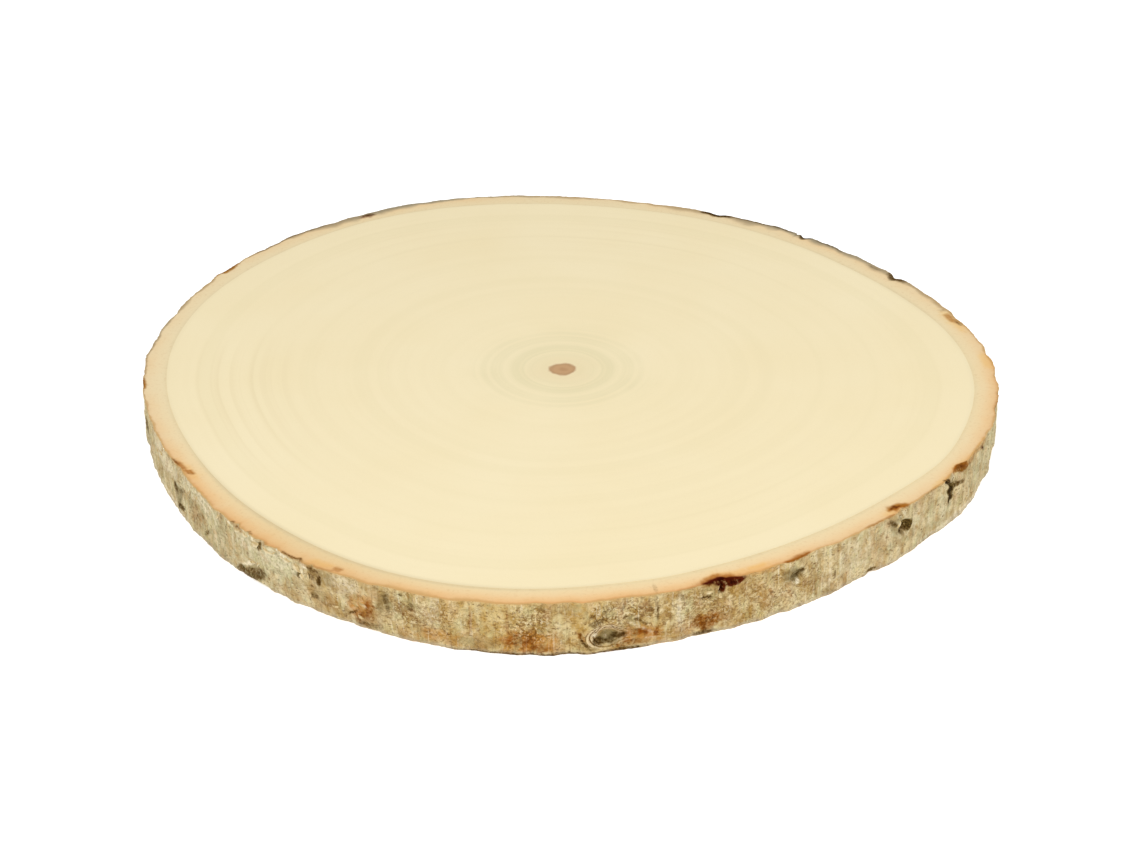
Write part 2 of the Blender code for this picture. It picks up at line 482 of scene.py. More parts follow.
def select(piece: bpy.types.Object, kind: Element, test: Callable[..., bool]) -> None:
    """Selects, in edit mode, what passes a test, and nothing else.

    Args:
        piece: the piece, open in edit mode.
        kind: what is selected.
        test: tells of one element whether it passes.
    """
    bpy.ops.mesh.select_mode(type=kind.name)
    bpy.ops.mesh.select_all(action="DESELECT")
    cage = bmesh.from_edit_mesh(piece.data)
    for element in getattr(cage, kind.value):
        if test(element):
            element.select_set(True)
    bmesh.update_edit_mesh(piece.data)


def is_end(face: bmesh.types.BMFace) -> bool:
    """Whether a face is one of a cylinder's two ends."""
    return abs(face.normal.z) > 0.5


def new_cylinder(name: str, sides: int, radius: float, height: float) -> bpy.types.Object:
    """Adds a cylinder that stands on z = 0, and opens it in edit mode.

    Args:
        name: the piece's name.
        sides: how many sides the cylinder has.
        radius: its radius, in millimetres.
        height: its height, in millimetres.

    Returns:
        The new object, with nothing else selected.
    """
    bpy.ops.object.select_all(action="DESELECT")
    bpy.ops.mesh.primitive_cylinder_add(
        vertices=sides,
        radius=radius * MM,
        depth=height * MM,
        end_fill_type="NGON",
        location=(0, 0, height * MM / 2),
    )
    piece = bpy.context.object
    piece.name = name
    piece.data.name = name
    bpy.ops.object.transform_apply(location=True)
    bpy.ops.object.mode_set(mode="EDIT")
    return piece


def coordinates(piece: bpy.types.Object) -> np.ndarray:
    """Reads a piece's points.

    Args:
        piece: the piece, in object mode.

    Returns:
        The points in millimetres, one a row.
    """
    flat = np.empty(len(piece.data.vertices) * 3)
    piece.data.vertices.foreach_get("co", flat)
    return flat.reshape(-1, 3) / MM


def polar(places: np.ndarray) -> tuple[np.ndarray, np.ndarray]:
    """The azimuth of each point, and how far out it is."""
    azimuth = np.degrees(np.arctan2(places[:, 1], places[:, 0])) % 360.0
    return azimuth, np.hypot(places[:, 0], places[:, 1])


def move_to(piece: bpy.types.Object, places: np.ndarray) -> None:
    """Moves every point of the piece, given in millimetres."""
    piece.data.vertices.foreach_set("co", (places * MM).ravel())
    piece.data.update()


def keep_value(piece: bpy.types.Object, name: str, values: np.ndarray) -> None:
    """Stores one number a point, for the materials to read."""
    attribute = piece.data.attributes.new(name, "FLOAT", "POINT")
    attribute.data.foreach_set("value", values.astype(np.float32))


def finish_piece(
    piece: bpy.types.Object, material: bpy.types.Material, sharp: float
) -> None:
    """Shades the piece, dresses it and fixes it to the slice.

    Args:
        piece: the finished mesh.
        material: what it is made of.
        sharp: the angle in degrees past which an edge stays sharp.
    """
    bpy.ops.object.select_all(action="DESELECT")
    piece.select_set(True)
    bpy.context.view_layer.objects.active = piece
    bpy.ops.object.shade_smooth_by_angle(angle=math.radians(sharp))
    piece.data.materials.append(material)
    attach(piece, BODY)
    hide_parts(NODE)
    log.info("%s: %d faces", piece.name, len(piece.data.polygons))


# Making materials


def linear(colour: str) -> tuple[float, float, float, float]:
    """Turns an sRGB hex value such as "#c8a871" into a linear colour.

    Args:
        colour: the hex value.

    Returns:
        Red, green, blue and alpha, from 0 to 1.
    """
    parts = [int(colour[start : start + 2], 16) / 255.0 for start in (1, 3, 5)]
    turned = [part / 12.92 if part <= 0.04045 else ((part + 0.055) / 1.055) ** 2.4 for part in parts]
    return (*turned, 1.0)


def add_node(
    tree: bpy.types.NodeTree,
    kind: str,
    inputs: dict | None = None,
    stops: tuple = (),
    **settings: object,
) -> bpy.types.Node:
    """Adds a node to a material.

    Args:
        tree: the material's nodes.
        kind: the node's type, without the words ShaderNode in front.
        inputs: socket name or number to the value it takes, or to the output that feeds it.
        stops: for a ramp, its places and hex colours.
        settings: the node's own properties.

    Returns:
        The new node.
    """
    node = tree.nodes.new("ShaderNode" + kind)
    for name, value in settings.items():
        setattr(node, name, value)
    for socket, value in (inputs or {}).items():
        if isinstance(value, Socket):
            tree.links.new(value, node.inputs[socket])
        else:
            node.inputs[socket].default_value = value
    for number, (place, colour) in enumerate(stops):
        ramp = node.color_ramp.elements
        stop = ramp[number] if number < 2 else ramp.new(place)
        stop.position = place
        stop.color = linear(colour)
    return node


@dataclass
class Palette:
    """A material being made, with short ways to say what its nodes do."""

    name: str
    tree: bpy.types.NodeTree = field(init=False)
    material: bpy.types.Material = field(init=False)

    def __post_init__(self) -> None:
        """Makes an empty material that ends in a Principled shader."""
        self.material = bpy.data.materials.new(self.name)
        self.material.use_nodes = True
        self.tree = self.material.node_tree

    def place(self) -> Socket:
        """The point being shaded, in metres."""
        return add_node(self.tree, "TexCoord").outputs["Object"]

    def value(self, name: str) -> Socket:
        """A number that the mesh keeps at its points."""
        return add_node(self.tree, "Attribute", attribute_name=name).outputs["Fac"]

    def math(self, operation: str, *values: object) -> Socket:
        """The result of an arithmetic operation."""
        inputs = dict(enumerate(values))
        return add_node(self.tree, "Math", inputs, operation=operation).outputs[0]

    def times(self, *values: object) -> Socket:
        """The product of two or more values."""
        return reduce(lambda one, other: self.math("MULTIPLY", one, other), values)

    def plus(self, *values: object) -> Socket:
        """The sum of two or more values."""
        return reduce(lambda one, other: self.math("ADD", one, other), values)

    def less(self, value: object, share: float) -> Socket:
        """What a share of a value leaves of 1."""
        return self.math("SUBTRACT", 1.0, self.times(value, share))

    def span(self, value: object, low: float, high: float) -> Socket:
        """Rises smoothly from 0 at low to 1 at high."""
        inputs = {"Value": value, "From Min": low, "From Max": high}
        return add_node(self.tree, "MapRange", inputs, interpolation_type="SMOOTHSTEP").outputs[0]

    def noise(
        self, size: Size, detail: float = 2.0, shift: float = 0.0, warp: float = 0.0
    ) -> Socket:
        """Makes noise from 0 to 1.

        Args:
            size: the size of its features in millimetres, or one for each axis.
            detail: how many finer layers it has.
            shift: moves it, which gives another pattern.
            warp: how far it is drawn out of shape.

        Returns:
            The output that gives it.
        """
        sizes = size if isinstance(size, tuple) else (size,) * 3
        scale = tuple(1.0 / (length * MM) for length in sizes)
        inputs = {0: self.place(), 1: scale, 2: (shift,) * 3}
        mapped = add_node(self.tree, "VectorMath", inputs, operation="MULTIPLY_ADD").outputs[0]
        inputs = {"Vector": mapped, "Scale": 1.0, "Detail": detail, "Distortion": warp}
        return add_node(self.tree, "TexNoise", inputs).outputs["Fac"]

    def sway(self, amount: float, size: Size, detail: float = 2.0, shift: float = 0.0) -> Socket:
        """Noise about 0, with the amount between its lowest and its highest."""
        return self.times(self.math("SUBTRACT", self.noise(size, detail, shift), 0.5), amount)

    def noise_along(self, distance: object, size: float) -> Socket:
        """Noise from 0 to 1 along a distance, with features of a size in millimetres."""
        inputs = {"W": distance, "Scale": 1.0 / size, "Detail": 2.0}
        return add_node(self.tree, "TexNoise", inputs, noise_dimensions="1D").outputs["Fac"]

    def cells(self, size: float, warp: float) -> Socket:
        """Finds how far in from the edges of crooked cells a point is.

        Args:
            size: how wide a cell is, in millimetres.
            warp: how far its edges are bent, in millimetres.

        Returns:
            The output that gives it: 0 on an edge, about 0.5 in a cell's middle.
        """
        inputs = {"Vector": self.place(), "Scale": 0.8 / (size * MM), "Detail": 2.0}
        bent = add_node(self.tree, "TexNoise", inputs).outputs["Color"]
        inputs = {0: bent, 1: (2 * warp * MM,) * 3, 2: self.place()}
        moved = add_node(self.tree, "VectorMath", inputs, operation="MULTIPLY_ADD").outputs[0]
        inputs = {"Vector": moved, "Scale": 1.0 / (size * MM)}
        cells = add_node(self.tree, "TexVoronoi", inputs, feature="DISTANCE_TO_EDGE")
        return cells.outputs["Distance"]

    def mix(self, share: object, under: object, over: object, blend: str = "MIX") -> Socket:
        """Lays one colour over another.

        Args:
            share: how much of the upper colour there is, from 0 to 1.
            under: the lower colour, a hex value or an output.
            over: the upper colour, the same.
            blend: how the two are blended.

        Returns:
            The output that gives the colour.
        """
        sides = [linear(side) if isinstance(side, str) else side for side in (under, over)]
        inputs = {0: share, 6: sides[0], 7: sides[1]}
        return add_node(self.tree, "Mix", inputs, data_type="RGBA", blend_type=blend).outputs[2]

    def lay(
        self,
        under: object,
        over: object,
        value: object,
        low: float,
        high: float,
        share: object = 1.0,
        blend: str = "MIX",
    ) -> Socket:
        """Lays one colour over another where a value is high.

        Args:
            under: the lower colour, a hex value or an output.
            over: the upper colour, the same.
            value: what decides where the upper colour shows.
            low: the value at which none of it shows.
            high: the value at which its whole share shows.
            share: how much of it shows at most.
            blend: how the two are blended.

        Returns:
            The output that gives the colour.
        """
        return self.mix(self.times(self.span(value, low, high), share), under, over, blend)

    def bump(self, height: object, depth: float, strength: object = 1.0) -> Socket:
        """A surface relief of a real depth in millimetres."""
        inputs = {"Height": height, "Distance": depth * MM, "Strength": strength}
        return add_node(self.tree, "Bump", inputs).outputs[0]

    def finish(self, colour: Socket, normal: Socket, **sockets: float) -> bpy.types.Material:
        """Feeds the shader.

        Args:
            colour: the output that gives the colour.
            normal: the output that gives the relief.
            sockets: the shader's other values, their names with _ for a space.

        Returns:
            The finished material.
        """
        shader = self.tree.nodes["Principled BSDF"]
        self.tree.links.new(colour, shader.inputs["Base Color"])
        self.tree.links.new(normal, shader.inputs["Normal"])
        for name, value in sockets.items():
            shader.inputs[name.replace("_", " ")].default_value = value
        return self.material


# The wood


@dataclass(frozen=True)
class SawnPoplar:
    """Poplar sapwood, sawn across the grain and sanded: matt, very pale, with faint rings."""

    cream: str = "#faecc5"
    warm: str = "#f6e5b8"
    ring_line: str = "#dcc795"
    wide_band: str = "#efe0b3"
    cambium: str = "#dbc9a0"
    halo: str = "#e2d7aa"
    halo_warm: str = "#ecd9ac"
    pith: str = "#c79d6f"
    pith_edge: str = "#b4875a"

    def material(self) -> bpy.types.Material:
        """Draws growth rings by distance from the pith, which the mesh keeps as "ring".

        Returns:
            The finished material.
        """
        make = Palette("poplar_sapwood_sanded_end_grain")
        ring = make.value("ring")
        waved = make.plus(ring, make.sway(5.0, 80, 1.0))
        # Year rings of a fast poplar, about 8 mm apart, plainest two thirds of the way out.
        years = add_node(
            make.tree,
            "TexVoronoi",
            {"W": waved, "Scale": 1 / 8.0, "Randomness": 1.0},
            voronoi_dimensions="1D",
            feature="DISTANCE_TO_EDGE",
        ).outputs["Distance"]
        line = make.span(years, 0.26, 0.0)
        close_rings = make.noise_along(waved, 4.2)
        bands = make.noise_along(waved, 11.0)
        plain = make.times(make.span(ring, 108.0, 124.0), make.span(ring, 160.0, 140.0))
        plain = make.times(plain, make.value("sides"))
        patches = make.span(make.noise(90, 1.0, 3.0), 0.26, 0.74)
        shown = make.times(make.plus(0.04, make.times(plain, 0.17)), patches)
        colour = make.mix(make.noise(45), self.cream, self.warm)
        colour = make.lay(colour, self.wide_band, bands, 0.45, 0.7, 0.22)
        colour = make.lay(colour, self.ring_line, close_rings, 0.44, 0.7, shown)
        colour = make.mix(make.times(line, make.times(shown, 0.3)), colour, self.ring_line)
        colour = self.heart(make, ring, close_rings, colour)
        # The newest wood turns grey towards the cambium.
        newest = make.times(make.value("cambium"), 0.55)
        colour = make.lay(colour, self.cambium, ring, 162.6, 165.4, newest)
        pores = make.noise((0.5, 0.5, 4.0))
        colour = make.lay(colour, self.ring_line, pores, 0.52, 0.75, 0.08)
        relief = make.bump(make.plus(pores, make.times(line, -0.4)), 0.04)
        return make.finish(colour, relief, Roughness=0.62, IOR=1.45)

    def heart(self, make: Palette, ring: Socket, close_rings: Socket, colour: Socket) -> Socket:
        """Adds the pith, warm wood round it, and a faint greenish halo further out.

        Args:
            make: the material being made.
            ring: the distance from the pith.
            close_rings: the noise of the fine rings.
            colour: the wood's colour so far.

        Returns:
            The output that gives the new colour.
        """
        reach = make.plus(ring, make.sway(22.0, 24, 2.0, 5.0))
        halo = make.times(make.span(reach, 44.0, 16.0), make.span(reach, 4.0, 15.0))
        close = make.times(make.span(close_rings, 0.3, 0.7), 0.45)
        colour = make.mix(make.times(halo, make.plus(0.15, close)), colour, self.halo)
        colour = make.lay(colour, self.halo_warm, reach, 20.0, 6.0, 0.5)
        blurred = make.plus(ring, make.sway(5.0, 6, 2.0, 2.0))
        colour = make.lay(colour, self.pith_edge, blurred, 6.2, 4.4, 0.9)
        colour = make.lay(colour, self.pith, blurred, 4.6, 3.0, 0.9)
        return make.lay(colour, self.pith_edge, blurred, 2.0, 0.6, 0.5)


@dataclass
class SawnWood:
    """The disc of wood inside the bark: two sawn faces and the edge that the bark hides."""

    trunk: Trunk
    finish: SawnPoplar = SawnPoplar()
    sides: int = 480
    rings: int = 26
    under_bark: float = 0.25  # how far the disc reaches in under the bark
    pith: tuple[float, float] = (1.0, -2.5)
    pith_recess: float = 0.35
    pith_rim: tuple[float, float] = (5.0, 1.5)  # where the recess starts, and where it is whole
    core_inset: float = 9.0  # round rings would end this far inside the log's mean outline
    # How plain the growth rings are, and where they are plainer: azimuth, half width, share.
    ring_floor: float = 0.15
    ring_sides: tuple = ((180, 42, 0.85), (5, 34, 0.85), (90, 40, 0.3))

    def build(self) -> bpy.types.Object:
        """Models the disc from a cylinder whose ends are inset ring by ring.

        Returns:
            The finished piece.
        """
        size = self.trunk
        piece = new_cylinder("sawn_wood", self.sides, size.mean_radius, size.thickness)
        select(piece, Element.FACE, is_end)
        step = size.mean_radius / (self.rings + 1)
        for _ in range(self.rings):
            bpy.ops.mesh.inset(thickness=step * MM, use_individual=True)
        bpy.ops.mesh.poke()
        bpy.ops.object.mode_set(mode="OBJECT")
        self.shape(piece)
        finish_piece(piece, self.finish.material(), 40)
        return piece

    def shape(self, piece: bpy.types.Object) -> None:
        """Gives the disc the log's outline, and marks each point's distance from the pith.

        Args:
            piece: the plain disc.
        """
        size = self.trunk
        plain = coordinates(piece)
        azimuth, reach = polar(plain)
        share = reach / size.mean_radius
        # The rings are round at the pith and take on the log's outline towards the bark.
        edge = size.wood_radius(azimuth) + self.under_bark
        radius = share * (edge * share + (1.0 - share) * (size.mean_radius - self.core_inset))
        ring = share * (size.mean_radius - size.bark_width)
        sign = np.where(plain[:, 2] > size.thickness / 2, -1.0, 1.0)
        height = plain[:, 2] + sign * self.pith_recess * ease(ring, *self.pith_rim)
        places = size.points(azimuth, radius, height)
        places[:, :2] += np.outer(1.0 - share, self.pith)
        move_to(piece, places)
        keep_value(piece, "ring", ring)
        keep_value(piece, "cambium", size.cambium(azimuth))
        sides = self.ring_floor + size.around(azimuth, self.ring_sides)
        keep_value(piece, "sides", np.clip(sides, 0.0, 1.0))


# The bark


class Tint(Enum):
    """What a blot on the bark is, by the name of the value that the mesh keeps."""

    LICHEN = "lichen"  # pale greenish-grey crust
    RUST = "rust"  # red-brown stain of tannin
    SAP = "sap"  # dark red-brown, where sap has dried
    GOLD = "gold"  # golden-orange film
    # Some DARK blots are painted shade, and some PALE blots painted highlights.
    DARK = "dark"  # black scar or mould
    PALE = "pale"  # cream, where a skin of bark has come off
    SLATE = "slate"  # blue-grey
    CRAZED = "crazed"  # crossed by fine brown cracks


@dataclass(frozen=True)
class Blot:
    """A patch of one tint on the bark: a rough ellipse about a place."""

    tint: Tint
    azimuth: float
    lie: float
    half_width: float
    half_height: float
    strength: float = 1.0
    turn: float = 0.0  # of its long side, in degrees; its right end goes up
    rough: float = 0.6  # how ragged its edge is


def marks(tint: Tint, *rows: tuple[float, ...]) -> tuple[Blot, ...]:
    """Blots of one tint, each row with the rest of Blot's values in their order."""
    return tuple(Blot(tint, *row) for row in rows)


@dataclass(frozen=True)
class PoplarBark:
    """Young poplar bark, dry: matt, tan to greenish grey, crazed and speckled, peach where sawn."""

    ochre: str = "#b5904b"
    light_ochre: str = "#d5bc82"
    grey_tan: str = "#b7a47a"
    light_grey_tan: str = "#dccda6"
    furrow: str = "#6c471e"
    fleck: str = "#f6ebcb"
    lichen: str = "#d8cfa8"
    lichen_shade: str = "#b5ae88"
    gold: str = "#bb7f2e"
    film: str = "#fff1cf"
    rust: str = "#bb8f4c"
    sap: str = "#7c3a10"
    fold: str = "#ecd6b0"
    pink: str = "#cda679"
    green: str = "#cfcb97"
    stain: str = "#bca075"
    # The dark blots' colours: scars, and painted shade along the lower rim and in a knot's pit.
    scar_and_shade: str = "#85724a"
    scar_and_shade_heart: str = "#43351c"
    pale: str = "#f3e6c6"
    slate: str = "#84744c"
    rim: str = "#d2ae76"
    skin: str = "#cfa66c"
    old_skin: str = "#8f8770"
    cambium: str = "#d3c198"
    # painted shade: a grey along the lower rim, where the wall nears the floor
    lower_rim_shade: str = "#b3ac9c"  # on the lower rim
    deep: str = "#f5eddf"
    faded: str = "#eeddb5"
    layers: str = "#c99a63"
    # The sawn inner bark, from the cambium outwards; a ramp is made with its two ends first.
    inner_bark: tuple = (
        (0.0, "#eedcb0"),
        (1.0, "#d5a163"),
        (0.12, "#efd9ab"),
        (0.42, "#f0d3a2"),
        (0.66, "#efc892"),
        (0.84, "#eabd84"),
        (0.93, "#dfa96e"),
    )

    def material(self) -> bpy.types.Material:
        """Makes bark outside and sawn inner bark on the rims, told apart by the lie.

        Returns:
            The finished material.
        """
        make = Palette("poplar_bark_dry")
        grit = make.noise((1.8, 1.8, 1.4), 3.0, 4.0, 1.2)
        crazed = make.value("crazed")
        contrast = make.plus(0.5, make.times(crazed, 0.5))
        contrast = make.times(contrast, make.less(make.value("lichen"), 0.45))
        # Crazing: crooked cells of old bark with brown cracks between them.
        edge = make.cells(1.9, 0.9)
        cracks = make.times(make.span(edge, 0.16, 0.03), crazed, make.span(grit, 0.62, 0.46))
        tops = make.times(make.span(edge, 0.12, 0.36), crazed)
        furrows = make.times(make.span(grit, 0.49, 0.34), contrast)
        furrows = make.math("MAXIMUM", furrows, cracks)
        flecks = make.times(make.span(grit, 0.53, 0.66), contrast)
        flecks = make.times(flecks, make.plus(0.7, make.times(tops, 0.6)))
        past_rim = make.math("GREATER_THAN", make.value("inwards"), 0.0)
        colour = make.mix(past_rim, self.outside(make, furrows, flecks), self.sawn(make))
        colour = self.stained(make, colour, past_rim)
        fibres = make.noise((0.8, 0.8, 6.0), 2.0, 2.0)
        height = make.plus(make.times(grit, 1.6), make.times(fibres, 0.7), make.times(tops, 0.5))
        relief = make.bump(height, 0.65, make.less(past_rim, 0.92))
        return make.finish(colour, relief, Roughness=0.85, Specular_IOR_Level=0.04)

    def outside(self, make: Palette, furrows: Socket, flecks: Socket) -> Socket:
        """Colours the wall.

        Args:
            make: the material being made.
            furrows: how much of a furrow there is, from 0 to 1.
            flecks: how much of a pale fleck there is, from 0 to 1.

        Returns:
            The output that gives the colour.
        """
        mottle = make.span(make.noise((5, 5, 7), 4.0), 0.38, 0.62)
        warm = make.mix(mottle, self.ochre, self.light_ochre)
        cool = make.mix(mottle, self.grey_tan, self.light_grey_tan)
        bands = make.sway(1.5, (3.0, 3.0, 26.0), 2.0, 1.0)
        colour = make.mix(make.plus(make.value("warmth"), bands), cool, warm)
        patches = make.noise((2.4, 2.4, 3.2), 4.0, 2.0)
        crust = make.times(make.math("SUBTRACT", patches, 0.5), 1.6)
        crust = make.plus(make.value("lichen"), crust, make.times(make.value("warmth"), -0.2))
        shades = make.span(make.noise((1.2, 1.2, 1.6), 3.0, 3.0), 0.38, 0.62)
        lichen = make.mix(shades, self.lichen_shade, self.lichen)
        colour = make.lay(colour, lichen, crust, 0.3, 0.9, 0.75)
        golden = make.times(make.value("gold"), make.plus(0.6, make.times(patches, 0.8)), 0.85)
        colour = make.mix(golden, colour, self.gold)
        colour = make.mix(make.times(furrows, 0.8), colour, self.furrow)
        colour = make.mix(make.times(flecks, 0.5), colour, self.fleck)
        stains = make.noise((9, 9, 13), 4.0, 11.0)
        unskinned = make.times(make.less(make.value("pale"), 0.8), 0.32)
        colour = make.lay(colour, self.stain, stains, 0.55, 0.72, unskinned, "MULTIPLY")
        tones = make.noise((5, 5, 7), 3.0, 15.0)
        colour = make.lay(colour, self.pink, tones, 0.54, 0.68, 0.3)
        colour = make.lay(colour, self.green, tones, 0.47, 0.33, 0.3)
        streaks = make.noise((0.9, 0.9, 15.0), 2.0, 6.0)
        combed = make.times(make.span(make.noise(8, 2.0, 17.0), 0.4, 0.62), 0.36)
        colour = make.lay(colour, self.fleck, streaks, 0.58, 0.7, combed)
        colour = make.lay(colour, self.furrow, streaks, 0.42, 0.3, 0.26)
        colour = self.eye_folds(make, colour)
        ticks = make.noise((1.7, 1.7, 0.8), 2.0, 7.0)
        colour = make.lay(colour, self.furrow, ticks, 0.62, 0.70, 0.65)
        slate = make.times(make.value("slate"), make.plus(0.3, patches))
        colour = make.mix(slate, colour, self.slate)
        # Pale blots: bare bark, and a few painted highlights.
        light = make.times(make.value("pale"), make.plus(0.2, make.times(shades, 0.8)))
        colour = make.mix(light, colour, self.pale)
        edge = make.plus(make.value("lie"), make.times(patches, 1.6))
        # Painted shade: grey laid along the lower rim.
        colour = make.lay(colour, self.lower_rim_shade, edge, 3.2, 0.9, 0.45)
        return make.lay(colour, self.rim, edge, 21.4, 22.8, 0.4)

    def eye_folds(self, make: Palette, colour: Socket) -> Socket:
        """Adds the pale folds of callus, brown between them, that ring an eye-shaped knot.

        Args:
            make: the material being made.
            colour: the wall's colour so far.

        Returns:
            The output that gives the new colour.
        """
        eye = make.value("eye")
        turned = make.plus(make.times(eye, FOLDS[0]), FOLDS[1], make.sway(3.4, 3, 2.0, 12.0))
        wave = make.math("SINE", turned)
        shown = make.times(make.value("folds"), make.span(make.noise(2, 2.0, 14.0), 0.18, 0.45))
        colour = make.lay(colour, self.furrow, wave, -0.2, -1.0, make.times(shown, 0.95))
        colour = make.lay(colour, self.fold, wave, -0.8, 0.6, make.times(shown, 0.7))
        return make.lay(colour, self.slate, eye, 0.56, 0.26, 0.6)

    def stained(self, make: Palette, colour: Socket, past_rim: Socket) -> Socket:
        """Adds stains and dark blots, some painted shade; they darken the colour and leave its grain
        in sight.

        Args:
            make: the material being made.
            colour: the bark's colour so far.
            past_rim: 1 on a sawn face, 0 on the wall.

        Returns:
            The output that gives the new colour.
        """
        ragged = make.times(make.sway(2.2, 1.3, 4.0, 9.0), make.less(past_rim, 0.75))
        film = make.times(make.value("gold"), make.times(past_rim, 0.9))
        colour = make.mix(film, colour, self.film, "MULTIPLY")
        for name, low, high, stain in (("rust", 0.08, 0.92, self.rust), ("sap", 0.1, 0.9, self.sap)):
            amount = make.times(make.value(name), make.plus(1.0, ragged))
            colour = make.lay(colour, stain, amount, low, high, blend="MULTIPLY")
        broken = make.times(make.plus(ragged, make.sway(2.0, 0.8, 3.0, 10.0)), 0.7)
        # Dark blots: scars and mould, and painted shade along the lower rim and in a knot's pit.
        dark = make.times(make.value("dark"), make.plus(1.0, broken))
        scar_and_shade = make.mix(make.span(dark, 0.7, 1.3), self.scar_and_shade, self.scar_and_shade_heart)
        return make.lay(colour, scar_and_shade, dark, 0.05, 0.85, blend="MULTIPLY")

    def sawn(self, make: Palette) -> Socket:
        """Colours the sawn edge: a grey cambium line, then peach inner bark, then a brown skin.

        Args:
            make: the material being made.

        Returns:
            The output that gives the colour.
        """
        wobble = make.sway(1.0, 3, 3.0, 8.0)
        across = make.plus(make.value("across"), make.times(wobble, 0.12))
        ramp = add_node(make.tree, "ValToRGB", {"Fac": across}, self.inner_bark).outputs["Color"]
        fresh = make.plus(make.value("blush"), make.sway(0.9, 13, 3.0, 16.0))
        colour = make.mix(fresh, make.mix(0.8, ramp, self.faded), ramp)
        colour = make.mix(make.value("deep"), colour, self.deep, "MULTIPLY")
        grey = make.times(make.value("cambium"), 0.65)
        colour = make.lay(colour, self.cambium, across, 0.24, 0.03, grey)
        colour = make.lay(colour, self.layers, make.noise(1.2, 3.0, 5.0), 0.5, 0.8, 0.2)
        depth = make.plus(make.value("inwards"), make.times(wobble, -1.5))
        ratio = make.math("DIVIDE", depth, make.value("skin"))
        skin = make.mix(make.value("old"), self.skin, self.old_skin)
        return make.lay(colour, skin, ratio, 1.8, 0.3, 0.85)


